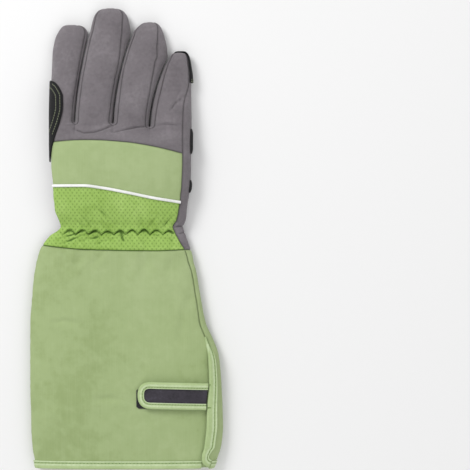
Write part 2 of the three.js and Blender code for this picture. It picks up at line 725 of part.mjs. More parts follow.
// One row of a strip of the hand, on the back or underneath, from its left to its right column.
function stripRow(k, row, columns, under) {
  if (row === 0) return fingerRow(k, FINGER_ROWS.length - 1, columns, under);
  const level = under ? UNDER_POINT : BACK_POINT;
  const shares = under ? UNDER_SHARES : BACK_SHARES;
  const height = under ? fingerBottom : fingerTop;
  const bodyHeight = under ? bodyBottom : bodyTop;
  const turn = Math.min(row, MIDDLE_RING);
  const ends = [0, 1].map((t) => {
    const y = rowY(k, t, row);
    if (k === 0 && t === 0) {
      const section = fingerSection(0, crotchY(0, 0));
      return { x: bodySection(y).left, z: section.level };
    }
    if (k === LAST && t === 1) {
      const right = sideRow(row)[level];
      return { x: right.x, z: SIDE_END[level].z };
    }
    const rings = CROTCHES[k - 1 + t].rings;
    const point = rings[t === 0 ? CROTCH_TURNS.length - 1 - turn : turn][level];
    const section = bodySection(y);
    const x = row > MIDDLE_RING ? lerp(section.left, section.seam, shares[k + t]) : point.x;
    return { x, z: point.z };
  });
  return columns.map((t) => {
    if (k === LAST && t === 1) return sideRow(row)[level];
    const y = rowY(k, t, row);
    const section = fingerSection(k, crotchY(k, t));
    const from = under ? section.underLeft : section.backLeft;
    const to = under ? section.underRight : section.backRight;
    const chord = lerp(height(section, from), height(section, to), t);
    const swell = height(section, lerp(from, to, t)) - chord;
    const finger = lerp(ends[0].z, ends[1].z, t) + swell;
    const x = lerp(ends[0].x, ends[1].x, t);
    const z = lerp(bodyHeight(x, y), finger, fingerPart(k, t, y));
    const { centre, half } = bodySection(y);
    const gather = under ? 0 : gatherAt(x, y) * dome((x - centre) / half, BODY_ROUND);
    return new THREE.Vector3(x, y, z + gather);
  });
}

// The palm's cloth round the little-finger side, from the seam on the back to the underside.
function sideRow(row) {
  const y = rowY(LAST, 1, row);
  const section = bodySection(y);
  const part = fingerPart(LAST, 1, y);
  return SIDE_STEPS.map((step, j) => {
    const x = lerp(section.seam, section.edge, step);
    const height = j < 2 ? bodyTop(x, y) : bodyBottom(x, y);
    const z = step === 1 ? bodyLevel(section, x, y) : height;
    return new THREE.Vector3(lerp(x, SIDE_END[j].x, part), y, lerp(z, SIDE_END[j].z, part));
  });
}

// Rows of a finger from its tip to its crotch, at share t across it.
function fingerRowY(k, t, row) {
  if (row < TIP_ROWS.length) return tipY(k) - TIP_ZONE * TIP_ROWS[row] ** 2;
  return lerp(tipY(k) - TIP_ZONE, crotchY(k, t), SHAFT_ROWS[row - TIP_ROWS.length]);
}
const FINGER_ROWS = [...Array(TIP_ROWS.length + SHAFT_ROWS.length).keys()];

function fingerRow(k, row, columns, under) {
  const height = under ? fingerBottom : fingerTop;
  return columns.map((t) => {
    const y = fingerRowY(k, t, row);
    const section = fingerSection(k, y);
    const from = under ? section.underLeft : section.backLeft;
    const to = under ? section.underRight : section.backRight;
    const x = lerp(from, to, t);
    return new THREE.Vector3(x, y, height(section, x));
  });
}

function fingerStrip(k, columns, under) {
  return FINGER_ROWS.map((row) => fingerRow(k, row, columns, under));
}

function fingerSide(k, side) {
  return FINGER_ROWS.map((row) => {
    const y = fingerRowY(k, side === 'left' ? 0 : 1, row);
    return sidePoints(fingerSection(k, y), y, side);
  });
}

// Rows and columns of the palm's faces that are left out over the thumb's mouth.
const HOLE = {
  rows: [ROWS_TO_KNUCKLES + 1, ROWS_TO_PIPING - 1],
  columns: { 0: [2, 4], 1: [0, 1] },
};
const FOURCHETTES = ['index_middle', 'middle_ring', 'ring_little'].map((pair) => `fourchette_${pair}`);

function inHole(k, row, column) {
  const columns = HOLE.columns[k];
  return columns !== undefined && within(row, HOLE.rows) && within(column, columns);
}

// The hand: fingers, back, band, wrist panel and palm as one skin.
function handSkin() {
  const skin = new Skin();
  for (let k = 0; k <= LAST; k += 1) {
    const columns = k === 0 ? EDGE_COLUMNS : FINGER_COLUMNS;
    const fine = columns.flatMap((t, j) => (j === 0 ? [t] : [(columns[j - 1] + t) / 2, t]));
    skin.grid(fingerStrip(k, columns, false), () => 'hand_back', true);
    skin.grid(fingerStrip(k, columns, true), () => `palm ${k} finger`);
    const rows = [...BODY_ROWS.keys()];
    const back = rows.slice(0, ROWS_TO_PIPING + 1).map((row) => stripRow(k, row, columns, false));
    skin.grid(back, (i) => (i < ROWS_TO_KNUCKLES ? 'hand_back' : 'knuckle_band'), true);
    const wrist = rows.slice(ROWS_TO_PIPING).map((row) => stripRow(k, row, fine, false));
    skin.grid(wrist, () => 'wrist_panel', true);
    const palm = rows.map((row) => stripRow(k, row, columns, true));
    skin.grid(palm, (i, j) => (inHole(k, i, j) ? 'hole' : `palm ${k} body`));
    if (k > 0) {
      skin.grid(fingerSide(k, 'left'), (i) => (i === 0 ? 'hand_back' : FOURCHETTES[k - 1]));
    }
    const side = k < LAST ? FOURCHETTES[k] : 'palm side finger';
    skin.grid(fingerSide(k, 'right'), (i) => (i === 0 && k < LAST ? 'hand_back' : side), true);
  }
  CROTCHES.forEach(({ rings }, m) => skin.grid(rings, () => FOURCHETTES[m], true));
  skin.grid([...BODY_ROWS.keys()].map(sideRow), () => 'palm side body', true);
  return skin;
}

// Cuff: the back runs from the left side over the top, the front under it and round the right side.
const SLIT_SHARE = (SLIT_TOP_Y - WALL_HEM_Y) / (CUFF_SEAM_Y - WALL_HEM_Y);
const TAPE_SHARE = BINDING_WIDTH / (SLIT_TOP_Y - WALL_HEM_Y);
const SLIT_ROWS = [0, TAPE_SHARE, 0.09, 0.2, 0.33, 0.46, 0.6, 0.74, 0.88, 1];
const UPPER_ROWS = [0.25, 0.5, 0.75, 1];
const CUFF_ROWS = [
  ...SLIT_ROWS.map((row) => row * SLIT_SHARE),
  ...UPPER_ROWS.map((row) => lerp(SLIT_SHARE, 1, row)),
];
const BACK_SPREAD = [0, 0.006, 0.024, 0.06, 0.11, 0.18, 0.27, 0.37, 0.48, 0.59, 0.7, 0.8, 0.88, 0.95, 1];
const UNDER_COLUMNS = 13;
const WRAP_SPREAD = [0.28, 0.5, 0.75, 1];
const CORNER_SPREAD = [0.4, 0];
const CORNER_TURNS = [10, 45, 75, 90]; // degrees that the tape has turned by at each station of the corner
const CORNER_START = 0.2; // share of the first step round the corner at which the slit's tape begins
const WRAP_TURN = THREE.MathUtils.degToRad(75); // lean of the bound edge's lift, up from sideways

// Point of the cuff's front on its wrapped part, lifted over the back near the slit. x is taken unlifted.
function cuffWrap(x, y) {
  const section = bodySection(y);
  const lift = SLIT_LIFT * slitRamp(y);
  const share = clamp((section.right - x) / (section.right - wrapStart(y)), 0, 1);
  const turn = WRAP_TURN * share ** WRAP_EASE;
  const z = share === 0 ? bodyLevel(section, x, y) : bodyTop(x, y);
  return new THREE.Vector3(x + lift * Math.cos(turn), y, z + lift * Math.sin(turn));
}

function wrapStart(y) {
  return bodySection(y).seam - SLIT_LIFT * slitRamp(y) * Math.cos(WRAP_TURN);
}

function cuffUnder(x, y) {
  const section = bodySection(y);
  const side = (x - section.centre) / section.half;
  const push = SLIT_LIFT * slitRamp(y) * smoothstep(side, WRAP_PUSH, 1);
  const z = Math.abs(side) >= 1 ? bodyLevel(section, x, y) : bodyBottom(x, y);
  return new THREE.Vector3(x + push, y, z);
}

// Hem line of the front, rounded up at the slit's corner.
function frontHemY(fromEdge) {
  const inside = clamp(fromEdge, 0, SLIT_CORNER);
  return WALL_HEM_Y + SLIT_CORNER - Math.sqrt(SLIT_CORNER ** 2 - (SLIT_CORNER - inside) ** 2);
}

function cuffSeamAt(x) {
  return seamY(CUFF_SEAM, WRIST_LENGTH, CUFF_SEAM_Y, x);
}

// Place across the back that shares its height along the glove with a place across the underside.
function backShareOf(share) {
  const k = Math.max(0, UNDER_SHARES.findIndex((next) => next >= Math.min(share, 1)) - 1);
  const t = (Math.min(share, 1) - UNDER_SHARES[k]) / (UNDER_SHARES[k + 1] - UNDER_SHARES[k]);
  return lerp(BACK_SHARES[k], BACK_SHARES[k + 1], t);
}

function cuffBackRow(row) {
  const seam = bodySection(CUFF_SEAM_Y);
  const at = (share) => lerp(WALL_HEM_Y, cuffSeamAt(lerp(seam.left, seam.seam, share)), row);
  const standOff = (y) => (BINDING_PROUD + 2 * SEAM_GAP) * slitOpen(y);
  const points = BACK_SPREAD.map((share) => {
    const y = at(share);
    const section = bodySection(y);
    const x = lerp(section.left, section.seam - standOff(y), share);
    return new THREE.Vector3(x, y, bodyTop(x, y));
  });
  const y = at(1);
  const { seam: edge, right } = bodySection(y);
  const under = Math.min(UNDERLAP, WRAP_LIMIT * (right - edge)) + standOff(y);
  const lapStart = SLIT_TOP_Y - SLIT_FADE;
  const lapped = 1 - smoothstep(y, lapStart - 2 * UNDERLAP, lapStart);
  const x = edge - standOff(y) + under * lapped;
  return [...points, new THREE.Vector3(x, y, bodyTop(x, y))];
}

function cuffFrontRow(row) {
  const seam = bodySection(CUFF_SEAM_Y);
  const under = [...Array(UNDER_COLUMNS + 1).keys()].map((j) => {
    const share = (1 - Math.cos((Math.PI * j) / UNDER_COLUMNS)) / 2;
    const across = (lerp(seam.left, seam.right, share) - seam.left) / (seam.seam - seam.left);
    const y = lerp(WALL_HEM_Y, cuffSeamAt(lerp(seam.left, seam.seam, backShareOf(across))), row);
    const section = bodySection(y);
    return cuffUnder(lerp(section.left, section.right, share), y);
  });
  const level = lerp(WALL_HEM_Y, cuffSeamAt(seam.seam), row);
  const { right } = bodySection(level);
  const width = Math.min(BINDING_WIDTH, WRAP_LIMIT * (right - wrapStart(level)));
  const sweepIn = WRAP_SPREAD.map((share) => {
    const x = lerp(right, wrapStart(level) + width, share);
    return cuffWrap(x, level);
  });
  const edge = CORNER_SPREAD.map((share) => {
    const y = row === 0 ? frontHemY(share * width) : level;
    return cuffWrap(wrapStart(level) + share * width, y);
  });
  return [...under, ...sweepIn, ...edge];
}

const CUFF_BACK = CUFF_ROWS.map(cuffBackRow);
const CUFF_FRONT = CUFF_ROWS.map(cuffFrontRow);

function cuffSkin() {
  const skin = new Skin();
  skin.grid(CUFF_BACK, () => 'cuff_back');
  skin.grid(CUFF_FRONT, () => 'cuff_front', true);
  return skin;
}

// Station of a tape on a skin: its edge point, and a far point at the tape's width towards a neighbour.
function tapeStation(skin, normals, edge, towards, out, width) {
  const share = width / edge.distanceTo(towards);
  const up = normals[skin.add(edge)];
  const farUp = up.clone().lerp(normals[skin.add(towards)], Math.min(share, 1)).normalize();
  return { edge, far: edge.clone().lerp(towards, share), up, farUp, out };
}

// Round the hem: from the slit's edge over the back to the left, then underneath to the right and up.
function hemStations(skin) {
  const normals = skin.normals();
  const out = new THREE.Vector3(0, -1, 0);
  const at = (rows, j) => tapeStation(skin, normals, rows[0][j], rows[1][j], out, BINDING_WIDTH);
  const over = BACK_SPREAD.map((_, j) => at(CUFF_BACK, j)).reverse();
  const last = UNDER_COLUMNS + WRAP_SPREAD.length;
  const under = [...Array(last).keys()].map((j) => at(CUFF_FRONT, j + 1));
  const end = under[last - 1];
  const back = under[last - 2].edge.clone().sub(end.edge).setLength(2 * TAPE_GAP);
  end.edge = end.edge.clone().add(back);
  end.far.add(back);
  return [...over, ...under];
}

// From the hem round the slit's corner and up its edge. The tape turns about a pivot inside the corner.
function slitStations(skin) {
  const normals = skin.normals();
  const end = CUFF_FRONT[0].length - 1;
  const inner = end - CORNER_SPREAD.length;
  const pivotRow = 2;
  const pivot = CUFF_FRONT[pivotRow][inner];
  const outward = CORNER_TURNS.map((degrees) => {
    const turn = THREE.MathUtils.degToRad(degrees);
    return new THREE.Vector3(-Math.sin(turn), -Math.cos(turn), 0);
  });
  const corner = [inner, inner + 1, end].map((j, i) =>
    tapeStation(skin, normals, CUFF_FRONT[0][j], pivot, outward[i], BINDING_WIDTH),
  );
  corner[0].edge = corner[0].edge.clone().lerp(corner[1].edge, CORNER_START);
  const edge = CUFF_FRONT.slice(pivotRow, SLIT_ROWS.length).map((row) => {
    const width = row[end].distanceTo(row[inner]);
    return tapeStation(skin, normals, row[end], row[inner], outward[corner.length], width);
  });
  return [...corner, ...edge];
}

// Strap over the back of the cuff, with a round end, at heights over the cloth.
const STRAP_Y = HEM_Y + STRAP_FROM_HEM;
const HOOK_BOTTOM = SEAM_GAP;
const STRAP_BOTTOM = HOOK_BOTTOM + HOOK_WALL + TAPE_GAP + BINDING_PROUD;
const STRAP_TOP = STRAP_BOTTOM + STRAP_WALL;
const STRAP_ACROSS = [-1, -0.92, -0.7, -0.35, 0, 0.35, 0.7, 0.92, 1];
const STRAP_ALONG = [0, 0.25, 0.5, 0.75, 0.9, 1];
const HOOK_ACROSS = [-0.5, -0.4, 0, 0.4, 0.5];
const HOOK_ALONG = [0, 0.08, 0.5, 1];
const HOOK_TRIM = 0.08; // share of the patch's length that its corners are cut back by
const HOOK_SHIFT = 0.1; // share of the strap's width by which the patch sits below its middle
const HOOK_SHOWS = 1; // how far the patch shows beyond the strap's end

function strapRootX(y) {
  return bodySection(y).seam - BINDING_PROUD - 2 * TAPE_GAP;
}

function strapPlate() {
  const half = STRAP_WIDTH / 2 - BINDING_PROUD;
  const endX = strapRootX(STRAP_Y) - STRAP_LENGTH + BINDING_PROUD;
  return STRAP_ACROSS.map((across) => {
    const rootX = strapRootX(STRAP_Y + across * half);
    const bow = half * (1 - (1 - Math.abs(across) ** STRAP_ROUND) ** (1 / STRAP_ROUND));
    return STRAP_ALONG.map((along) => {
      const x = lerp(rootX, endX + bow, along);
      const y = STRAP_Y + across * half - STRAP_SLOPE * (x - (rootX + endX) / 2);
      return new THREE.Vector3(x, y, bodyTop(x, y) + STRAP_TOP);
    });
  });
}

function strapStations(plate) {
  const last = plate[0].length - 1;
  const lower = plate[0].slice(0, last);
  const end = plate.map((row) => row[last]);
  const upper = plate[plate.length - 1].slice(0, last).reverse();
  const path = [...lower, ...end, ...upper];
  const up = new THREE.Vector3(0, 0, 1);
  return path.map((point, i) => {
    const before = path[Math.max(i - 1, 0)];
    const after = path[Math.min(i + 1, path.length - 1)];
    const out = after.clone().sub(before).setZ(0).normalize().cross(up).negate();
    const far = point.clone().addScaledVector(out, -STRAP_BINDING_WIDTH);
    far.z = bodyTop(far.x, far.y) + STRAP_TOP;
    return { edge: point, far, up, farUp: up, out };
  });
}

function hookGrid() {
  const startX = strapRootX(STRAP_Y) - STRAP_LENGTH - HOOK_SHOWS;
  const centreY = STRAP_Y - STRAP_WIDTH * HOOK_SHIFT;
  return HOOK_ACROSS.map((across) =>
    HOOK_ALONG.map((along) => {
      const trim = Math.abs(across) === 0.5 && along === 0 ? HOOK_TRIM : 0;
      const x = startX + (along + trim) * HOOK_LENGTH;
      const y = centreY + across * HOOK_WIDTH;
      return new THREE.Vector3(x, y, bodyTop(x, y) + HOOK_BOTTOM + HOOK_WALL);
    }),
  );
}

// Height of the index strip's surface near the left side, on the back or underneath.
function thumbSide(x, y, under) {
  const crotch = crotchY(0, 0);
  if (y >= crotch) {
    const section = fingerSection(0, y);
    if (x <= section.left) return section.level;
    return under ? fingerBottom(section, x) : fingerTop(section, x);
  }
  const body = bodySection(y);
  const ended = fingerSection(0, crotch);
  const part = fingerPart(0, 0, y);
  const shifted = clamp(x - body.left + ended.left, ended.left, ended.right);
  const bodyZ = under ? bodyBottom(x, y) : bodyTop(x, y);
  const fingerZ = under ? fingerBottom(ended, shifted) : fingerTop(ended, shifted);
  return lerp(x <= body.left ? bodyLevel(body, x, y) : bodyZ, fingerZ, part);
}

// Rows of the saddle patch along it, and its columns: 1 at its edge on the back, 0 at the fold, then underneath.
const SADDLE_ROWS = [0, 0.06, 0.16, 0.26, 0.36, 0.46, 0.56, 0.66, 0.76, 0.85, 0.92, 0.97, 1];
const SADDLE_COLUMNS = [1, 0.85, 0.66, 0.45, 0.25, 0, -0.3, -0.5];

function saddleGrid() {
  return SADDLE_ROWS.map((share) => {
    const y = SADDLE_START_Y + share * SADDLE_LENGTH;
    const left = y >= crotchY(0, 0) ? fingerSection(0, y).left : bodySection(y).left;
    const width = SADDLE_WIDTH * read(SADDLE, share, 'width');
    return SADDLE_COLUMNS.map((c) => {
      const x = left + width * c * c;
      return new THREE.Vector3(x, y, thumbSide(x, y, c < 0));
    });
  });
}

// Thumb: a closed bag along its own axis, flat on the floor, open above into the palm.
const THUMB_COLUMNS = 14;
const THUMB_MOUTH = { rows: [1, 4], columns: [2, 4] };

function thumbSkin() {
  const skin = new Skin();
  const power = (value, exponent) => Math.sign(value) * Math.abs(value) ** exponent;
  const rows = THUMB.map(({ at, width, depth }) =>
    [...Array(THUMB_COLUMNS + 1).keys()].map((j) => {
      const angle = (2 * Math.PI * j) / THUMB_COLUMNS;
      const across = (THUMB_WIDTH / 2) * width * power(Math.cos(angle), THUMB_ROUND.across);
      const z = (THUMB_DEPTH / 2) * (1 + depth * power(Math.sin(angle), THUMB_ROUND.rise));
      const along = at * THUMB_LENGTH;
      const x = THUMB_HEEL.x + along * Math.sin(THUMB_TURN) + across * Math.cos(THUMB_TURN);
      const y = THUMB_HEEL.y + along * Math.cos(THUMB_TURN) - across * Math.sin(THUMB_TURN);
      return new THREE.Vector3(x, y, z);
    }),
  );
  const mouth = (i, j) => within(i, THUMB_MOUTH.rows) && within(j, THUMB_MOUTH.columns);
  skin.grid(rows, (i, j) => (mouth(i, j) ? 'mouth' : 'thumb'), true);
  return skin;
}

// Piping: a bead of half-round section on the seam between the band and the wrist panel.
const BEAD = [
  { side: 0.5, rise: 0 },
  { side: 0.46, rise: 0.5 },
  { side: 0.25, rise: 0.9 },
  { side: -0.25, rise: 0.9 },
  { side: -0.46, rise: 0.5 },
  { side: -0.5, rise: 0 },
];

function pipingRings(skin) {
  const normals = skin.normals();
  const seam = FINGERS.flatMap((_, k) => {
    const row = stripRow(k, ROWS_TO_PIPING, k === 0 ? EDGE_COLUMNS : FINGER_COLUMNS, false);
    return row.slice(1);
  });
  return seam.map((point) => {
    const up = normals[skin.add(point)];
    const along = new THREE.Vector3(0, 1, 0).addScaledVector(up, -up.y).normalize();
    const foot = point.clone().addScaledVector(up, PATCH_GAP);
    return BEAD.map(({ side, rise }) =>
      foot.clone().addScaledVector(along, side * PIPING_WIDTH).addScaledVector(up, rise * PIPING_HEIGHT),
    );
  });
}

const COLOURS = {
  grey: { color: 0x7d767c, roughness: 0.85 },
  sage: { color: 0xa5b987, roughness: 0.8 },
  lime: { color: 0x93c254, roughness: 0.75 },
  tape: { color: 0xb2d48c, roughness: 0.7 },
  black: { color: 0x28282c, roughness: 0.6 },
  strap: { color: 0x3a343e, roughness: 0.45 },
  white: { color: 0xf2f4f1, roughness: 0.5 },
};

const gauntlet = new THREE.Group();

function piece(name, geometry, colour) {
  const material = new THREE.MeshStandardMaterial({ ...COLOURS[colour], metalness: 0 });
  const mesh = new THREE.Mesh(geometry, material);
  mesh.name = name;
  gauntlet.add(mesh);
}

const hand = handSkin();
const labelled = (label) => (face) => face.label === label;
const onPalm = (face) => face.label.startsWith('palm');
piece('hand_back', hand.shell(labelled('hand_back'), { wall: FABRIC_WALL, gap: FABRIC_GAP }), 'grey');
piece('palm', hand.shell(onPalm, { wall: FABRIC_WALL, gap: FABRIC_GAP }), 'grey');
FOURCHETTES.forEach((name) => piece(name, hand.shell(labelled(name), { wall: FABRIC_WALL }), 'grey'));
piece('knuckle_band', hand.shell(labelled('knuckle_band'), { wall: FABRIC_WALL }), 'sage');
piece('wrist_panel', hand.shell(labelled('wrist_panel'), { wall: FABRIC_WALL }), 'lime');

// Patches and pads follow the faces that they are sewn on, a clearance above them.
function patch(name, skin, chosen) {
  piece(name, skin.shell(chosen, { wall: PATCH_WALL, outer: PATCH_OUTER, gap: 0 }), 'black');
}

const TIP_PATCH_ROWS = [0, 3];
const UPPER_PAD_ROWS = [MIDDLE_RING, ROWS_TO_KNUCKLES - 1];
const HEEL_PAD_ROWS = [ROWS_TO_KNUCKLES + 2, ROWS_TO_KNUCKLES + 2];
const onLittleTip = (face) => {
  const facing = face.label === `palm ${LAST} finger` || face.label === 'palm side finger';
  return facing && within(face.row, TIP_PATCH_ROWS);
};
const onEdge = (rows) => (face) => {
  const facing = face.label === `palm ${LAST} body` || (face.label === 'palm side body' && face.column > 0);
  return facing && within(face.row, rows);
};
patch('little_tip_patch', hand, onLittleTip);
patch('palm_pad_upper', hand, onEdge(UPPER_PAD_ROWS));
patch('palm_pad_heel', hand, onEdge(HEEL_PAD_ROWS));

const saddle = new Skin();
saddle.grid(saddleGrid(), () => 'saddle', true);
patch('thumb_saddle_patch', saddle, () => true);
piece('thumb', thumbSkin().shell(labelled('thumb'), { wall: FABRIC_WALL, gap: 0 }), 'grey');
piece('piping', sweep(pipingRings(hand), [[0, 1, 2, 3], [0, 3, 4, 5]]), 'white');

const cuff = cuffSkin();
piece('cuff_back', cuff.shell(labelled('cuff_back'), { wall: CUFF_WALL, gap: SEAM_GAP }), 'sage');
piece('cuff_front', cuff.shell(labelled('cuff_front'), { wall: CUFF_WALL, gap: SEAM_GAP }), 'sage');
piece('hem_binding', foldedTape(hemStations(cuff), CUFF_WALL), 'tape');
piece('slit_binding', foldedTape(slitStations(cuff), CUFF_WALL), 'tape');

const plate = strapPlate();
const strap = new Skin();
strap.grid(plate, () => 'strap', true);
piece('strap', strap.shell(() => true, { wall: STRAP_WALL, gap: 0 }), 'strap');
piece('strap_binding', foldedTape(strapStations(plate), STRAP_WALL), 'tape');
const hook = new Skin();
hook.grid(hookGrid(), () => 'hook');
piece('hook_patch', hook.shell(() => true, { wall: HOOK_WALL, gap: 0 }), 'black');

export default gauntlet;
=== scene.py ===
# %% [markdown]
# # A rose pruning gauntlet, lying palm down
#
# A sewn glove is a set of flat cuts of cloth that meet at seams. This script draws each cut as a surface that is
# a function of two numbers (how far across, how far along), gives it a thickness, turns its edges down into the
# seams, and then adds what makes cloth look like cloth: weave, folds, gathers, stitches and tape.
#
# All lengths in the formulas are millimetres. +Y runs to the finger tips, -X is the thumb's side, +Z is up out
# of the back of the hand, and the glove lies on Z = 0.

# %% Load the frame
import bpy
import numpy as np
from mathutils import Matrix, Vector


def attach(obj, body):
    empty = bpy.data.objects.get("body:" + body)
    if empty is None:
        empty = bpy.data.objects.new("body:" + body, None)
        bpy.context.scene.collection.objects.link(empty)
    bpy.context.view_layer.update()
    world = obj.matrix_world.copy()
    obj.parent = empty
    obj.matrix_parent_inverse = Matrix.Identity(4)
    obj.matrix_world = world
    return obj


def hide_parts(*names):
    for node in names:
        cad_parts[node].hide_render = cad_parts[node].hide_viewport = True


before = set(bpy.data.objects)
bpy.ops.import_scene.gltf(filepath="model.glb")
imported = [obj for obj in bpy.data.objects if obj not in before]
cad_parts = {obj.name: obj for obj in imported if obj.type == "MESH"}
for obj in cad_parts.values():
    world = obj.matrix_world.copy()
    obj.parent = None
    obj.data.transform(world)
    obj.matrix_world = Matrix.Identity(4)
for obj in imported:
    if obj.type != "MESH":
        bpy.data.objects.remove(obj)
# the start-up file's own objects go, where it has any
for name in ("Cube", "Light", "Camera"):
    if name in bpy.data.objects:
        bpy.data.objects.remove(bpy.data.objects[name])
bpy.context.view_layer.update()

# %% [markdown]
# ## Sizes
#
# The same named sizes shape every piece below: four lengths along the glove, a width and a depth for each zone,
# and the widths of tapes, strap and patches.

# %% Sizes in millimetres
FINGER_LENGTH, HAND_LENGTH, WRIST_LENGTH, CUFF_LENGTH = 94.2, 58.8, 46.5, 180.5
HAND_WIDTH, WRIST_WIDTH, CUFF_WIDTH = 116.0, 102.0, 159.6
HAND_DEPTH, WRIST_DEPTH, CUFF_DEPTH, FINGER_DEPTH = 27.0, 16.0, 17.0, 13.0
THUMB_LENGTH, THUMB_WIDTH, THUMB_DEPTH, THUMB_TURN = 56.0, 29.0, 9.0, np.radians(40)
FABRIC_WALL, CUFF_WALL, PATCH_WALL, TAPE_WALL = 1.2, 1.3, 1.0, 0.6
SEAM_INSET, CROTCH_DEPTH, TIP_ZONE = 2.5, 3.0, 45.0
BINDING_WIDTH, PIPING_WIDTH, PIPING_RISE = 5.6, 2.4, 0.45
TAPE_THICK, TAPE_STAND_OFF = 0.8, 0.2
SLIT_LENGTH, SLIT_CORNER, UNDERLAP = 108.6, 7.0, 7.0
STRAP_LENGTH, STRAP_WIDTH, STRAP_WALL, STRAP_BINDING_WIDTH = 57.0, 22.4, 1.4, 4.4
STRAP_FROM_HEM, STRAP_SLOPE = 60.6, 0.03
HOOK_LENGTH, HOOK_WIDTH, HOOK_WALL = 24.0, 16.5, 0.8
SADDLE_LENGTH, SADDLE_WIDTH = 67.0, 11.3
FOLD_DEPTH, GATHER_PITCH, GATHER_DEPTH = 1.6, 10.4, 1.1
SEAM_GAP, VALLEY_GAP, PATCH_GAP, TAPE_GAP = 0.3, 0.8, 0.35, 0.5
SIDE_LEVEL, FLATTEN, NOSE, FADE = 0.42, 0.8, 0.7, 14.0
BODY_ROUND, FINGER_ROUND, UNDER_ROUND = (2.8, 0.45), (2.4, 0.5), (3.2, 0.5)
BINDING_PROUD = TAPE_GAP + TAPE_WALL
HEM_Y = -(CUFF_LENGTH + WRIST_LENGTH + HAND_LENGTH + FINGER_LENGTH) / 2
CUFF_SEAM_Y = HEM_Y + CUFF_LENGTH
PIPING_Y = CUFF_SEAM_Y + WRIST_LENGTH
CROTCH_Y = PIPING_Y + HAND_LENGTH
WALL_HEM_Y = HEM_Y + BINDING_PROUD
SLIT_TOP_Y = HEM_Y + SLIT_LENGTH
SLIT_LIFT = CUFF_WALL + 2 * BINDING_PROUD + TAPE_GAP
print(f"hem at {HEM_Y:.1f}, cuff seam {CUFF_SEAM_Y:.1f}, piping {PIPING_Y:.1f}, crotches near {CROTCH_Y:.1f} mm")

# %% [markdown]
# ## Tables
#
# Each row is a station. The body's rows hold the plan outline and the height of the back; the fingers' rows hold
# how their tips round off and where their seams run. `curve` draws a smooth line through a table: on each
# stretch it is a cubic whose slope at a row is the harmonic mean of the slopes on both sides, so it never
# overshoots.

# %% Tables
ZONES = {
    "cuff": (WALL_HEM_Y, CUFF_SEAM_Y, CUFF_WIDTH, CUFF_DEPTH),
    "wrist": (CUFF_SEAM_Y, PIPING_Y, WRIST_WIDTH, WRIST_DEPTH),
    "hand": (PIPING_Y, CROTCH_Y, HAND_WIDTH, HAND_DEPTH),
}
# zone, share along it, left edge, right edge, seam's distance from the right edge, height of the back
OUTLINE = [
    ("cuff", 0, -0.468, 0.45, 0.052, 0.84), ("cuff", 0.04, -0.478, 0.47, 0.07, 0.84),
    ("cuff", 0.11, -0.49, 0.493, 0.08, 0.87), ("cuff", 0.19, -0.495, 0.5, 0.077, 0.92),
    ("cuff", 0.26, -0.496, 0.498, 0.073, 0.95), ("cuff", 0.4, -0.5, 0.49, 0.053, 0.98),
    ("cuff", 0.515, -0.5, 0.477, 0.046, 1), ("cuff", 0.588, -0.5, 0.449, 0.036, 1),
    ("cuff", 0.661, -0.5, 0.412, 0.03, 1), ("cuff", 0.77, -0.491, 0.387, 0.023, 1),
    ("cuff", 0.879, -0.479, 0.366, 0.022, 0.98), ("cuff", 0.952, -0.464, 0.345, 0.024, 0.95),
    ("cuff", 1, -0.447, 0.334, 0.0304, 0.9), ("wrist", 0.097, -0.677, 0.508, 0.061, 0.93),
    ("wrist", 0.248, -0.621, 0.483, 0.073, 0.88), ("wrist", 0.31, -0.58, 0.472, 0.077, 0.84),
    ("wrist", 0.4, -0.536, 0.46, 0.08, 0.88), ("wrist", 0.522, -0.548, 0.483, 0.072, 1.03),
    ("wrist", 0.664, -0.573, 0.492, 0.066, 1.18), ("wrist", 0.805, -0.58, 0.5, 0.063, 1.3),
    ("hand", 0, -0.517, 0.453, 0.061, 0.84), ("hand", 0.1, -0.517, 0.458, 0.0603, 0.88),
    ("hand", 0.4, -0.532, 0.465, 0.0603, 0.96), ("hand", 0.7, -0.535, 0.465, 0.0603, 1),
    ("hand", 1, -0.535, 0.465, 0.0603, 0.92),
]
BODY = np.array([
    (start + (end - start) * share, left * width, right * width, side * width, top * depth)
    for zone, share, left, right, side, top in OUTLINE
    for start, end, width, depth in [ZONES[zone]]
]).T
KNUCKLE_SEAM = ((-0.535, -0.294, -0.184, 0.022, 0.197, 0.322, 0.41), (0.71, 0.735, 0.731, 0.699, 0.643, 0.588, 0.545))
PIPING_SEAM = ((-0.52, -0.294, -0.17, 0.022, 0.197, 0.39), (0.099, 0.099, 0.07, 0, -0.07, -0.13))
CUFF_SEAM = ((-0.61, -0.484, -0.29, 0.195, 0.418, 0.46), (0.08, 0.039, 0, -0.022, 0, 0.01))
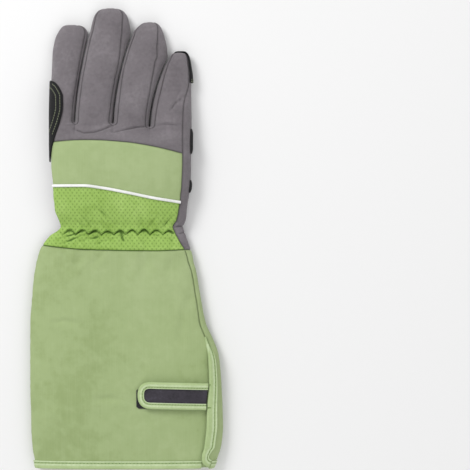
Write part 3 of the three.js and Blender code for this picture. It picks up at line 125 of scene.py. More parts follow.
# valleys between the fingers: x, drop, length, lean, bend
VALLEYS = [
    (-0.363, 0.004, 0.786, 0.098, 0.68), (-0.093, -0.004, 0.769, 0.128, 0.8), (0.1655, -0.031, 0.593, 0.133, 0.84),
]
FINGERS = [
    dict(reach=0.8546, base=0.78, lift=0.75, thick=0.96, tip=((0.18, 0.5, 0.79, 0.95, 1), (0.18, 0.8, 1, 1, 1)),
         seams=((0, 0.5, 1), (0, 0, 0), (0.5, 0.5, 0.8))),
    dict(reach=1, base=0.83, lift=0.7, thick=1.04, tip=((0.085, 0.62, 0.87, 1, 1), (0.085, 0.64, 0.91, 1, 1)),
         seams=((0, 0.25, 0.45, 0.55, 0.66, 0.764, 0.904, 1), (1.08, 1.05, 1, 0.97, 0.93, 0.9, 0.84, 0.8),
                (0.84, 0.66, 0.72, 1, 1.76, 2.64, 1.8, 1))),
    dict(reach=0.879, base=0.8, lift=0.35, thick=1, tip=((0.08, 0.56, 0.97, 1, 1), (0.08, 0.52, 0.79, 0.98, 1)),
         seams=((0, 0.26, 0.39, 0.5, 0.62, 0.72, 0.825, 1), (1.4, 1.4, 1.1, 0.84, 0.8, 0.8, 0.75, 0.6),
                (0.96, 1.08, 1.6, 2.28, 3.24, 3.28, 2.32, 1))),
    dict(reach=0.6104, base=0.72, lift=0.2, thick=0.92, tip=((0.24, 0.82, 1, 1, 1), (0.24, 0.61, 0.86, 1, 1)),
         seams=((0, 0.27, 0.43, 0.565, 0.8, 1), (1.6, 1.76, 1.76, 1.56, 0.9, 0.5), (2.8, 2.5, 1.6, 0.8, 0.4, 0.3))),
]
LAST = len(FINGERS) - 1
TIP_STOPS = (0, 0.25, 0.5, 0.75, 1)
BOTTOM_INSET = 1.2
# soft folds: x as a share of the hand's width, y, depth, half sizes across and along
FOLDS = [
    (x * HAND_WIDTH, ZONES[zone][0] + (ZONES[zone][1] - ZONES[zone][0]) * y, depth * FOLD_DEPTH,
     wide * HAND_WIDTH, long * HAND_WIDTH)
    for zone, x, y, depth, wide, long in [
        ("hand", -0.2, 0.86, 0.9, 0.13, 0.022), ("hand", 0.07, 0.88, 0.8, 0.11, 0.02),
        ("hand", 0.33, 0.9, 0.6, 0.08, 0.02), ("cuff", -0.44, 0.95, 1, 0.04, 0.09),
        ("cuff", 0.13, 0.95, 1.1, 0.05, 0.1), ("cuff", 0.32, 0.93, 0.7, 0.05, 0.07),
        ("cuff", -0.42, 0.66, 0.5, 0.09, 0.025), ("cuff", -0.1, 0.32, 0.4, 0.12, 0.03),
    ]
]
GATHER_Y, GATHER_REACH = CUFF_SEAM_Y + 0.32 * WRIST_LENGTH, 5.0
SADDLE = ((0, 0.16, 0.32, 0.5, 0.66, 0.8, 0.9, 0.97, 1), (0.03, 0.17, 0.45, 0.8, 0.98, 0.96, 0.72, 0.4, 0.08))
SADDLE_START_Y = PIPING_Y + 0.434 * HAND_LENGTH
THUMB = ((0, 0.05, 0.15, 0.3, 0.45, 0.65, 0.82, 0.94, 1), (0, 0.55, 0.85, 1, 1, 0.97, 0.88, 0.62, 0),
         (0, 0.6, 0.92, 1, 1, 0.98, 0.93, 0.72, 0))
THUMB_HEEL = (-0.397 * HAND_WIDTH, PIPING_Y)
THUMB_CLEARANCE, THUMB_MARGIN, THUMB_SLOPE = 0.5, 2.5, 13.0
print("body stations:", BODY.shape[1], "fingers:", len(FINGERS), "folds:", len(FOLDS))


# %% Blending, easing and the curve
def lerp(a, b, t):
    """a plus the share t of the way from a to b."""
    return a + (b - a) * t


def smooth(x, low, high):
    """0 below low, 1 above high, and 3 t squared minus 2 t cubed between them."""
    t = np.clip((x - low) / (high - low), 0, 1)
    return t * t * (3 - 2 * t)


def curve(xs, ys, at):
    """Smooth line through the points xs, ys that never overshoots them, read at the places at."""
    xs, ys = np.asarray(xs, float), np.asarray(ys, float)
    slope = np.diff(ys) / np.diff(xs)
    before, after = slope[:-1], slope[1:]
    same = before * after > 0
    inner = np.where(same, 2 * before * after / np.where(same, before + after, 1), 0)
    tangent = np.concatenate([slope[:1], inner, slope[-1:]])
    at = np.clip(at, xs[0], xs[-1])
    i = np.clip(np.searchsorted(xs, at, side="right") - 1, 0, len(xs) - 2)
    span = xs[i + 1] - xs[i]
    t = (at - xs[i]) / span
    bend = span * t * (1 - t) * ((1 - t) * tangent[i] - t * tangent[i + 1])
    return ys[i] + t * t * (3 - 2 * t) * (ys[i + 1] - ys[i]) + bend


print("right edge at the wrist:", round(float(curve(BODY[0], BODY[2], CUFF_SEAM_Y)), 1), "mm")

# %% [markdown]
# ## The body of the glove
#
# A cross-section has a left and a right edge, a widest line some way up its side, a crowned top and a flat
# underside. `dome` is the rounded profile: one minus the power of the distance from the middle, raised to an
# exponent below one, which makes a flat crown with round shoulders.

# %% Sections of the cuff, wrist and hand
def dome(u, shape):
    """(1 - |u| to the power p) to the exponent e: 1 in the middle, 0 at u = -1 and 1."""
    return np.maximum(0, 1 - np.abs(u) ** shape[0]) ** shape[1]


def slit_ramp(y):
    """1 along the open slit, easing to 0 at its top."""
    return 1 - smooth(y, SLIT_TOP_Y - 3 * UNDERLAP, SLIT_TOP_Y)


def underside(x, y):
    """Height of the cloth's underside: on the floor, except over the hem's tape, the pads and the tucked thumb."""
    pad = (PATCH_WALL + PATCH_GAP) * smooth(y, lerp(CUFF_SEAM_Y, PIPING_Y, 0.5), PIPING_Y)
    tape = BINDING_PROUD * (1 - smooth(y, HEM_Y + 2 * BINDING_WIDTH, HEM_Y + 4 * BINDING_WIDTH))
    dx, dy = x - THUMB_HEEL[0], y - THUMB_HEEL[1]
    along = np.clip(dx * np.sin(THUMB_TURN) + dy * np.cos(THUMB_TURN), 0, THUMB_LENGTH)
    away = np.hypot(dx - along * np.sin(THUMB_TURN), dy - along * np.cos(THUMB_TURN))
    plateau = THUMB_WIDTH / 2 + THUMB_MARGIN
    cover = 1 - smooth(away, plateau, plateau + THUMB_SLOPE)
    return lerp(pad + tape, THUMB_DEPTH + THUMB_CLEARANCE, cover)


# %% The tube's section
class Body:
    """The section of the tube at heights y: edges, seam on the back, height of the crown."""

    def __init__(self, y):
        left, edge, side, top = (curve(BODY[0], column, y) for column in BODY[1:])
        self.y, self.left, self.edge, self.top = y, left, edge, top
        self.right = edge - SLIT_LIFT * slit_ramp(y)
        self.centre, self.half = (left + self.right) / 2, (self.right - left) / 2
        self.seam = edge - side

    def level(self, x):
        t = np.clip((x - self.left) / (2 * self.half), 0, 1)
        low = lerp(underside(self.left, self.y), self.top, SIDE_LEVEL)
        high = lerp(underside(self.right, self.y), self.top, SIDE_LEVEL)
        return lerp(low, high, t)


def fold_at(x, y):
    """Sum of soft dents, each falling off as e to the minus distance squared."""
    return sum(d * np.exp(-(((x - fx) / w) ** 2) - ((y - fy) / n) ** 2) for fx, fy, d, w, n in FOLDS)


def body_top(x, y):
    b = Body(y)
    level = b.level(x)
    return level + (b.top - level - fold_at(x, y)) * dome((x - b.centre) / b.half, BODY_ROUND)


def body_bottom(x, y):
    b = Body(y)
    level, floor = b.level(x), underside(x, y)
    drop = dome((x - b.centre) / b.half, UNDER_ROUND)
    return np.maximum(floor, level - (level - floor + FLATTEN) * drop)


def seam_y(seam, length, start, x):
    """Height along the glove of a seam across the back, at x."""
    return start + length * curve(seam[0], seam[1], x / HAND_WIDTH)


print("height of the back over the cuff, wrist and hand:",
      [round(float(body_top(np.float64(0), np.float64(y))), 1) for y in (-100, 0, 70)])

# %% [markdown]
# ## Fingers
#
# The sides of neighbouring fingers follow one curved valley line between them, a gap apart. Towards the tip the
# width shrinks with the square root of the distance from the tip, which is how a round end closes.

# %% Sections of the fingers
def valley_base(m):
    return VALLEYS[m][0] * HAND_WIDTH, CROTCH_Y + VALLEYS[m][1] * FINGER_LENGTH


def valley_x(m, y):
    _, _, length, lean, bend = VALLEYS[m]
    x, start = valley_base(m)
    t = np.clip((y - start) / (length * FINGER_LENGTH), 0, 1)
    return x + lean * HAND_WIDTH * ((1 - bend) * t + bend * t * t)


def tip_y(k):
    return CROTCH_Y + FINGERS[k]["reach"] * FINGER_LENGTH


def crotch_y(k, t):
    """Height of finger k's crotch line at share t across the finger."""
    return lerp(valley_base(max(k - 1, 0))[1], valley_base(min(k, LAST - 1))[1], t)


# %% A finger's section
class Finger:
    """The section of finger k at heights y."""

    def __init__(self, k, y):
        f = FINGERS[k]
        body = Body(np.float64(CROTCH_Y))
        line_l = body.left if k == 0 else valley_x(k - 1, y) + VALLEY_GAP / 2
        line_r = body.edge if k == LAST else valley_x(k, y) - VALLEY_GAP / 2
        centre, half = (line_l + line_r) / 2, (line_r - line_l) / 2
        root = np.sqrt(np.clip((tip_y(k) - y) / TIP_ZONE, 0, 1))
        self.left = centre - half * curve(TIP_STOPS, f["tip"][0], root)
        self.right = centre + half * curve(TIP_STOPS, f["tip"][1], root)
        share = np.clip((y - crotch_y(k, 0.5)) / (tip_y(k) - crotch_y(k, 0.5)), 0, 1)
        fade = SEAM_INSET * np.minimum(1, root / 0.5)
        patched = PATCH_WALL + PATCH_GAP if k == LAST else 0
        bottom = lerp(f["lift"] * THUMB_DEPTH, patched, smooth(share, 0, 0.5))
        raised = lerp(f["base"] * HAND_DEPTH, bottom + f["thick"] * FINGER_DEPTH, smooth(share, 0, 0.7))
        nose = np.sin(np.pi / 2 * np.minimum(1, root / NOSE))
        self.middle, self.half = (self.left + self.right) / 2, (self.right - self.left) / 2
        self.back_l = self.left + fade * curve(f["seams"][0], f["seams"][1], share)
        self.back_r = self.right - fade * curve(f["seams"][0], f["seams"][2], share)
        self.under_l = self.left if k == 0 else self.left + fade * BOTTOM_INSET
        self.under_r = self.right - fade * BOTTOM_INSET
        self.level = lerp(bottom, raised, SIDE_LEVEL)
        self.top = self.level + (raised - self.level) * nose
        self.bottom = self.level - (self.level - bottom) * nose

    def height(self, x, under=False):
        u = (x - self.middle) / np.maximum(self.half, 1e-9)
        if not under:
            return self.level + (self.top - self.level) * dome(u, FINGER_ROUND)
        reach = self.level - self.bottom
        drop = dome(u, UNDER_ROUND) * (1 + FLATTEN / (reach + FLATTEN))
        return self.level - reach * np.minimum(1, drop)


# %% The sides of the fingers
def points(x, y, z):
    """One array of points from three that broadcast together."""
    return np.stack(np.broadcast_arrays(x, y, z), axis=-1)


# steps down a side: out from the back's seam to the widest line, and in again to the seam underneath
SIDE_OUT = np.sin(np.linspace(0, np.pi / 2, 7))
SIDE_STEPS = np.concatenate([SIDE_OUT, SIDE_OUT[-2::-1]])
SIDE_UNDER = np.arange(len(SIDE_STEPS)) >= len(SIDE_OUT) - 1
# how far the crotch sinks at each step, as a share of its depth
CROTCH_SINK = np.interp(SIDE_STEPS, (0, 0.65, 1), (1, 0.6, 0.35))


def side_points(section, y, right):
    """Points down a finger's side at each height y: seam on the back, widest line, seam underneath."""
    edge = section.right if right else section.left
    back = section.back_r if right else section.back_l
    under = section.under_r if right else section.under_l
    start = np.where(SIDE_UNDER, np.expand_dims(under, -1), np.expand_dims(back, -1))
    x = lerp(start, np.expand_dims(edge, -1), SIDE_STEPS)
    wide = Finger.__new__(Finger)
    for name in ("level", "top", "bottom", "middle", "half"):
        setattr(wide, name, np.expand_dims(np.asarray(getattr(section, name)), -1))
    z = np.where(SIDE_UNDER, wide.height(x, True), wide.height(x))
    return points(x, np.expand_dims(y, -1), np.where(SIDE_STEPS == 1, wide.level, z))


for k in range(LAST + 1):
    s = Finger(k, np.float64(crotch_y(k, 0.5) + 20))
    print(f"finger {k}: tip at {tip_y(k):.1f} mm, {2 * float(s.half):.1f} mm wide near its root")

# %% [markdown]
# ## Rows of the hand
#
# Below the fingers the cloth runs on as strips, one for each finger. The rows pass four zones: the little U below
# each crotch, the grey back, the sage band, and the mesh over the wrist. Near the crotches the surface still has
# the fingers' shapes, and over a short length it fades into the body's.

# %% Grid rows and columns
TURNS = np.radians(np.arange(0, 181, 18.0))
QUARTER = len(TURNS) // 2
PAD_ROWS = (0.54, 0.8)
BODY_ROWS = [("crotch", s) for s in np.sin(TURNS[: QUARTER + 1])]
BODY_ROWS += [("back", s) for s in np.linspace(0, 1, 33)[1:]]
BODY_ROWS += [("band", s) for s in np.linspace(0, 1, 51)[1:]]
BODY_ROWS += [("wrist", s) for s in np.linspace(0, 1, 71)[1:]]
ZONE_OF = np.array([zone for zone, _ in BODY_ROWS])
SHARE_OF = np.array([share for _, share in BODY_ROWS])
TO_KNUCKLES = int(np.argmax(ZONE_OF == "band")) - 1
TO_PIPING = int(np.argmax(ZONE_OF == "wrist")) - 1
TIP_ROWS = np.linspace(0, 1, 33)
SHAFT_ROWS = np.linspace(0, 1, 37)[1:]
COLUMNS = (1 - np.cos(np.linspace(0, np.pi, 37))) / 2 * 0.35 + np.linspace(0, 1, 37) * 0.65


# %% Crotches between the fingers
class Crotch:
    """The U of cloth below valley m: rings of points down the two sides, turned from one finger to the next."""

    def __init__(self, m):
        _, self.y = valley_base(m)
        before = side_points(Finger(m, np.float64(self.y)), np.float64(self.y), True)
        after = side_points(Finger(m + 1, np.float64(self.y)), np.float64(self.y), False)
        self.middle = (before + after) / 2
        self.across = before - self.middle
        sink = np.zeros((len(TURNS), len(SIDE_STEPS), 3))
        sink[..., 1] = -CROTCH_DEPTH * CROTCH_SINK * np.sin(TURNS)[:, None]
        self.rings = self.middle + self.across * np.cos(TURNS)[:, None, None] + sink


CROTCHES = [Crotch(m) for m in range(len(VALLEYS))]
SIDE_END = side_points(Finger(LAST, np.float64(crotch_y(LAST, 1))), np.float64(crotch_y(LAST, 1)), True)


def shares_across(level):
    found = []
    for crotch in CROTCHES:
        x, y, _ = crotch.rings[QUARTER][level]
        b = Body(y)
        found.append(float((x - b.left) / (b.seam - b.left)))
    return np.array([0, *found, 1])


BACK_SHARES, UNDER_SHARES = shares_across(0), shares_across(-1)


# %% Rows below the crotches
def row_y(k, t):
    """Heights of the rows below the crotches, at shares t across strip k: one row of the result for each."""
    t = np.atleast_1d(t)[None, :]
    across = lerp(BACK_SHARES[k], BACK_SHARES[k + 1], t)
    mid, piping, cuff = (Body(np.float64(y)) for y in (lerp(PIPING_Y, CROTCH_Y, 0.7), PIPING_Y, CUFF_SEAM_Y))
    crotch = crotch_y(k, t)
    knuckle_line = seam_y(KNUCKLE_SEAM, HAND_LENGTH, PIPING_Y, lerp(mid.left, mid.seam, across))
    piping_line = seam_y(PIPING_SEAM, HAND_LENGTH, PIPING_Y, lerp(piping.left, piping.seam, across))
    cuff_line = seam_y(CUFF_SEAM, WRIST_LENGTH, CUFF_SEAM_Y, lerp(cuff.left, cuff.seam, across))
    share, zone = SHARE_OF[:, None], ZONE_OF[:, None]
    return np.select(
        [zone == "crotch", zone == "back", zone == "band"],
        [crotch - CROTCH_DEPTH * share, lerp(crotch - CROTCH_DEPTH, knuckle_line, share),
         lerp(knuckle_line, piping_line, share)],
        lerp(piping_line, cuff_line, share),
    )


def finger_part(k, t, y):
    """1 at the crotch, fading to 0 below it: how much of the fingers' shape the surface still has."""
    return 1 - smooth(crotch_y(k, t) - CROTCH_DEPTH - y, 0, FADE)


def finger_rows(k, t):
    """Heights of a finger's rows from its tip to its crotch: closer together towards the tip."""
    t = np.atleast_1d(t)[None, :]
    tip = tip_y(k) - TIP_ZONE * TIP_ROWS[:, None] ** 2 + 0 * t
    return np.concatenate([tip, lerp(tip_y(k) - TIP_ZONE, crotch_y(k, t), SHAFT_ROWS[:, None])])


def finger_strip(k, t, under):
    y = finger_rows(k, t)
    s = Finger(k, y)
    x = lerp(s.under_l if under else s.back_l, s.under_r if under else s.back_r, t)
    return points(x, y, s.height(x, under))


# %% Strips of the hand
def side_row():
    """The palm's cloth round the little finger's side, down all rows: from the back's seam to the underside."""
    y = row_y(LAST, 1.0)
    b = Body(y)
    part = finger_part(LAST, 1, y)
    x = lerp(b.seam, b.edge, SIDE_STEPS)
    z = np.where(SIDE_UNDER, body_bottom(x, y), body_top(x, y))
    z = np.where(SIDE_STEPS == 1, b.level(x), z)
    return points(lerp(x, SIDE_END[:, 0], part), y, lerp(z, SIDE_END[:, 2], part))


SIDE_ROWS = side_row()


def strip_end(k, right, level, under):
    """x and height of a strip's left or right column, down all rows."""
    y = row_y(k, 1.0 if right else 0.0)[:, 0]
    b = Body(y)
    if k == 0 and not right:
        return b.left, np.full_like(y, Finger(0, np.float64(crotch_y(0, 0))).level)
    if k == LAST and right:
        return SIDE_ROWS[:, level, 0], np.full_like(y, SIDE_END[level, 2])
    crotch = CROTCHES[k if right else k - 1]
    sign = 1 if right else -1
    turn = np.cos(TURNS[np.minimum(np.arange(len(y)), QUARTER)])
    ring = crotch.middle[level] + sign * crotch.across[level] * turn[:, None]
    shares = UNDER_SHARES if under else BACK_SHARES
    x = np.where(np.arange(len(y)) > QUARTER, lerp(b.left, b.seam, shares[k + right]), ring[:, 0])
    return x, ring[:, 2]


def strip(k, t, under):
    """The cloth of strip k below the crotches, on the back or underneath."""
    level = -1 if under else 0
    y = row_y(k, t)
    ends = [strip_end(k, right, level, under) for right in (0, 1)]
    crotch = crotch_y(k, t)
    s = Finger(k, crotch)
    start, end = (s.under_l, s.under_r) if under else (s.back_l, s.back_r)
    chord = lerp(s.height(start, under), s.height(end, under), t)
    swell = s.height(lerp(start, end, t), under) - chord
    x = lerp(ends[0][0][:, None], ends[1][0][:, None], t)
    finger = lerp(ends[0][1][:, None], ends[1][1][:, None], t) + swell
    body = body_bottom(x, y) if under else body_top(x, y)
    grid = points(x, y, lerp(body, finger, finger_part(k, t, y)))
    grid[0] = finger_strip(k, t, under)[-1]
    if k == LAST:
        grid[:, -1] = SIDE_ROWS[:, level]
    return grid


print("rows below the crotches:", len(BODY_ROWS), "finger rows:", len(TIP_ROWS) + len(SHAFT_ROWS))

# %% [markdown]
# ## From grids to sewn panels
#
# All grids of the hand are joined where their points coincide, so that neighbouring panels share one normal at
# each seam. A panel is then a choice of faces. Its outer side is pushed out along the normals, its inner side in
# by the cloth's thickness, and along its rim the cloth sinks into the seam: the drop is the seam's depth times
# the square of one minus distance over width.

# %% Noise
def value_noise(x, y, cell, seed):
    """Smooth noise from -1 to 1: random values on a lattice of the given cell, blended between lattice points."""
    rng = np.random.default_rng(seed)
    table = rng.uniform(-1, 1, (64, 64))
    u, v = x / cell, y / cell
    i, j = np.floor(u).astype(int), np.floor(v).astype(int)
    s, t = smooth(u - i, 0, 1), smooth(v - j, 0, 1)
    at = lambda a, b: table[a % 64, b % 64]
    return lerp(lerp(at(i, j), at(i + 1, j), s), lerp(at(i, j + 1), at(i + 1, j + 1), s), t)


print("noise at three places:", np.round(value_noise(np.array([1.0, 5.0, 9.0]), np.zeros(3), 4.0, 1), 2))


# %% A skin of welded grids
class Skin:
    """Grids of points joined into one surface of labelled triangles."""

    def __init__(self):
        self.parts = []

    def grid(self, pts, label, flip=False, uv=None):
        """pts is rows by columns by 3. label is a name, or an array of names for rows by columns of faces."""
        rows, columns = pts.shape[:2]
        labels = np.broadcast_to(np.asarray(label, dtype=object), (rows - 1, columns - 1)).reshape(-1)
        uv = pts[..., :2] if uv is None else uv
        i, j = np.meshgrid(np.arange(rows - 1), np.arange(columns - 1), indexing="ij")
        quad = np.stack([i * columns + j, i * columns + j + 1, (i + 1) * columns + j + 1, (i + 1) * columns + j], -1)
        quad = quad.reshape(-1, 4)
        if flip:
            quad = quad[:, ::-1]
        self.parts.append((pts.reshape(-1, 3), uv.reshape(-1, 2), quad, labels, i.reshape(-1), j.reshape(-1)))

    def weld(self):
        """Join points that lie within a two-thousandth of a millimetre, and drop faces without area."""
        offsets = np.cumsum([0] + [len(part[0]) for part in self.parts])
        pts = np.concatenate([part[0] for part in self.parts])
        uv = np.concatenate([part[1] for part in self.parts])
        quads = np.concatenate([part[2] + offset for part, offset in zip(self.parts, offsets)])
        _, first, ids = np.unique(np.round(pts * 500).astype(np.int64), axis=0, return_index=True, return_inverse=True)
        ids = ids.reshape(-1)
        corners = np.concatenate([quads[:, [0, 1, 2]], quads[:, [0, 2, 3]]])
        faces = ids[corners]
        good = (faces[:, 0] != faces[:, 1]) & (faces[:, 1] != faces[:, 2]) & (faces[:, 2] != faces[:, 0])
        self.points = pts[first]
        self.faces = faces[good]
        self.face_uv = uv[corners][good]
        twice = lambda column: np.concatenate([np.concatenate([part[column] for part in self.parts])] * 2)[good]
        self.labels, self.rows, self.columns = twice(3), twice(4), twice(5)
        a, b, c = (self.points[self.faces[:, n]] for n in range(3))
        normal = np.cross(b - a, c - a)
        size = np.linalg.norm(normal, axis=1, keepdims=True)
        self.unit = normal / np.maximum(size, 1e-12)
        sums = np.zeros_like(self.points)
        for n in range(3):
            np.add.at(sums, self.faces[:, n], normal / np.sqrt(np.maximum(size, 1e-12)))
        self.normals = sums / np.maximum(np.linalg.norm(sums, axis=1, keepdims=True), 1e-12)
        return self


# %% Distances and meshes
def nearest(pts, targets, chunk=2000):
    """Distance from each point to the nearest target, worked out a chunk at a time."""
    found = np.empty(len(pts))
    for start in range(0, len(pts), chunk):
        part = pts[start : start + chunk]
        square = (part**2).sum(1)[:, None] + (targets**2).sum(1)[None] - 2 * part @ targets.T
        found[start : start + chunk] = np.sqrt(np.maximum(square.min(1), 0))
    return found


MADE = []


def make_mesh(name, pts, faces, uv=None, rim=None):
    """A Blender object at the origin from points in millimetres. faces: an array of triangles or of quads."""
    faces = np.asarray(faces)
    mesh = bpy.data.meshes.new(name)
    mesh.vertices.add(len(pts))
    mesh.vertices.foreach_set("co", (pts * 0.001).astype(np.float32).reshape(-1))
    mesh.loops.add(faces.size)
    mesh.loops.foreach_set("vertex_index", faces.reshape(-1).astype(np.int32))
    mesh.polygons.add(len(faces))
    mesh.polygons.foreach_set("loop_start", np.arange(0, faces.size, faces.shape[1], dtype=np.int32))
    mesh.update(calc_edges=True)
    mesh.polygons.foreach_set("use_smooth", np.ones(len(faces), dtype=bool))
    if uv is not None:
        layer = mesh.uv_layers.new(name="cloth")
        layer.data.foreach_set("uv", (uv * 0.001).astype(np.float32).reshape(-1))
    if rim is not None:
        mesh.attributes.new("rim", "FLOAT", "POINT").data.foreach_set("value", rim.astype(np.float32))
    mesh.validate()
    obj = bpy.data.objects.new(name, mesh)
    bpy.context.scene.collection.objects.link(obj)
    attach(obj, "root")
    MADE.append(obj)
    return obj


# %% A panel of cloth
FOLD_CLEAR, FOLD_FREE = 1.6, 0.25


def panel(name, skin, chosen, wall, outer=0.0, gap=0.1, seam=(0.7, 2.2), relief=None, tucked=True, fold_shade_gain=1.5):
    """A closed piece of cloth from the chosen faces of a skin.

    relief(points, rim) adds height along the normals. The "rim" attribute is the distance from the seam in mm, and the
    materials paint shade where it is small. In a fold deeper than FOLD_FREE it falls by fold_shade_gain times the
    depth, so that folds get the same painted shade as seams.
    """
    faces, uv, unit = skin.faces[chosen], skin.face_uv[chosen], skin.unit[chosen]
    used, local = np.unique(faces, return_inverse=True)
    local = local.reshape(-1, 3)
    pts, normals = skin.points[used], skin.normals[used]
    start, end = local[:, [0, 1, 2]].reshape(-1), local[:, [1, 2, 0]].reshape(-1)
    size = len(used)
    free = ~np.isin(start * size + end, end * size + start)
    a, b = start[free], end[free]
    along = pts[b] - pts[a]
    along /= np.maximum(np.linalg.norm(along, axis=1, keepdims=True), 1e-9)
    into = np.cross(np.repeat(unit, 3, axis=0)[free], along)
    inward = np.zeros_like(pts)
    np.add.at(inward, a, into)
    np.add.at(inward, b, into)
    inward /= np.maximum(np.linalg.norm(inward, axis=1, keepdims=True), 1e-9)
    rim = nearest(pts, pts[np.unique(np.concatenate([a, b]))])
    area = float(np.linalg.norm(np.cross(pts[local[:, 1]] - pts[local[:, 0]], pts[local[:, 2]] - pts[local[:, 0]]),
                                axis=1).sum() / 2)
    sink = seam[0] * np.maximum(0, 1 - rim / seam[1]) ** 2
    extra = relief(pts, rim) if relief else np.zeros(len(pts))
    # painted shade: the materials darken the cloth where this is small, in seams and in folds
    shade = np.minimum(rim, np.maximum(0, FOLD_CLEAR + fold_shade_gain * np.minimum(0, extra + FOLD_FREE)))
    shift = inward * gap
    top = pts + shift + normals * (outer - sink + extra)[:, None]
    base = pts + shift + normals * (outer - wall - (sink if tucked else 0) + np.minimum(extra, 0))[:, None]
    triangles = np.concatenate([local, local[:, ::-1] + size])
    rim_quads = np.stack([a, a + size, b + size, b], axis=1)
    rim_faces = np.concatenate([rim_quads[:, [0, 1, 2]], rim_quads[:, [0, 2, 3]]])
    face_uv = uv.reshape(-1, 3, 2)
    edge_uv = np.zeros((len(rim_faces), 3, 2))
    edge_uv[:] = np.concatenate([np.repeat(uv, 3, axis=0)[free][:, :1]] * 2)
    obj = make_mesh(
        name, np.concatenate([top, base]), np.concatenate([triangles, rim_faces]),
        np.concatenate([face_uv, face_uv[:, ::-1], edge_uv]), np.concatenate([shade, rim]),
    )
    obj["flat_area"] = area * 1e-6
    return obj


# %% The skin of the hand
FOURCHETTES = [f"fourchette_{pair}" for pair in ("index_middle", "middle_ring", "ring_little")]


def arc_uv(pts):
    """Cloth coordinates of a side strip: distance down the side from its first column, and the height y."""
    step = np.linalg.norm(np.diff(pts, axis=1), axis=2)
    across = np.concatenate([np.zeros((len(pts), 1)), np.cumsum(step, axis=1)], axis=1)
    return np.stack([pts[:, :1, 0] + across, pts[..., 1]], axis=-1)


hand = Skin()
along_name = np.where(np.arange(len(BODY_ROWS) - 1) < TO_KNUCKLES, "hand_back", "knuckle_band").astype(object)
along_name[TO_PIPING:] = "wrist_panel"
for k in range(LAST + 1):
    hand.grid(finger_strip(k, COLUMNS, False), "hand_back", flip=True)
    hand.grid(finger_strip(k, COLUMNS, True), f"palm finger {k}")
    hand.grid(strip(k, COLUMNS, False), along_name[:, None], flip=True)
    hand.grid(strip(k, COLUMNS, True), f"palm body {k}")
    for right in (False, True):
        if k == 0 and not right:
            continue
        y = finger_rows(k, 1.0 if right else 0.0)[:, 0]
        side = side_points(Finger(k, y), y, right)
        pair = k if right else k - 1
        owner = FOURCHETTES[pair] if pair < LAST else "palm side finger"
        names = np.full((len(side) - 1, 1), owner, dtype=object)
        if pair < LAST:
            names[:2] = "hand_back"
        hand.grid(side, names, flip=right, uv=arc_uv(side))
for crotch, owner in zip(CROTCHES, FOURCHETTES):
    hand.grid(crotch.rings, owner, flip=True)
hand.grid(SIDE_ROWS, "palm side body", flip=True, uv=arc_uv(SIDE_ROWS))
hand.weld()
print(f"hand: {len(hand.points)} points, {len(hand.faces)} triangles")

# %% [markdown]
# ## Relief of the cloth
#
# Cloth that lies loose is never smooth. Three kinds of relief are added along the normals: named creases, which
# follow short lines and have a soft lip on each side; noise at two sizes for the hand of the cloth; and puckers
# that the thread draws up beside a seam. The same lines could be sculpted by hand, but as a table they can be
# moved one by one.

# %% Creases
# each crease: depth, half width, then its points x, y
BACK_CREASES = [
    (1.3, 1.0, ((-11.5, 91.5), (-18.9, 88.3), (-25.5, 86.4), (-33.7, 85.9), (-41.1, 88.8))),
    (1.2, 0.9, ((17.3, 91.3), (9.9, 90.5), (-0.8, 88.4), (-10.7, 86.4))),
    (0.7, 0.9, ((-48.5, 92.3), (-43.0, 91.8))),
    (1.2, 1.1, ((49.7, 117.0), (44.4, 113.5), (40.3, 110.2), (37.0, 104.5))),
    (0.6, 1.6, ((46.0, 123.0), (42.0, 117.0), (40.0, 111.0))),
    (0.9, 1.1, ((24.7, 92.2), (35.0, 93.0), (44.4, 92.2))),
    (0.5, 2.6, ((-37.0, 122.0), (-42.5, 114.0), (-47.0, 103.0))),
    (0.45, 2.4, ((-4.0, 134.0), (-14.0, 128.0), (-26.0, 127.0))),
    (0.4, 2.4, ((12.0, 108.0), (4.0, 104.0), (-10.0, 103.0))),
]
PALM_CREASES = [
    (1.2, 0.8, ((40.0, 8.8), (43.0, 9.5), (48.0, 9.8))),
    (0.9, 0.7, ((43.0, 3.2), (46.0, 4.3), (50.0, 4.8))),
    (0.5, 0.8, ((45.5, -3.0), (48.0, -6.0), (50.0, -9.0))),
]
WRIST_CREASES = [
    (1.2, 0.9, ((-35.0, 17.0), (-31.0, 12.5), (-28.0, 7.4))),
    (1.1, 0.9, ((-41.0, 14.2), (-37.0, 11.0), (-32.0, 7.6))),
    (1.0, 1.9, ((-22.5, 24.0), (-17.0, 19.0), (-12.5, 13.0), (-9.0, 9.8))),
    (1.1, 0.8, ((52.0, 22.5), (46.0, 16.5), (40.5, 11.0), (36.0, 7.0))),
    (1.0, 0.9, ((39.0, 18.5), (34.5, 13.5), (30.0, 8.0))),
    (0.7, 1.3, ((27.0, 18.0), (22.0, 12.5), (19.0, 8.5))),
    (0.6, 1.3, ((-2.0, 19.0), (1.0, 13.0), (4.0, 9.0))),
    (1.1, 0.8, ((-57.0, -1.5), (-49.0, 1.5), (-39.0, 4.5), (-33.0, 6.0))),
    (1.2, 0.9, ((-53.0, -5.0), (-43.0, -0.5), (-31.0, 4.0), (-25.0, 6.0))),
    (0.8, 1.1, ((-40.0, -4.0), (-30.0, -1.0), (-18.0, 2.5), (-12.0, 4.5))),
    (0.7, 1.0, ((-24.0, -4.5), (-15.0, -2.0), (-6.0, 0.5))),
    (0.9, 1.0, ((8.0, 5.0), (12.0, 0.5), (16.0, -5.0))),
    (0.9, 0.9, ((22.0, 4.5), (29.0, 0.5), (38.0, -2.0))),
    (0.9, 0.9, ((33.0, 7.5), (40.0, 4.0), (46.0, 1.0), (51.0, -3.0))),
    (0.7, 1.2, ((-4.0, 4.0), (-2.0, -1.0), (3.0, -5.5))),
]
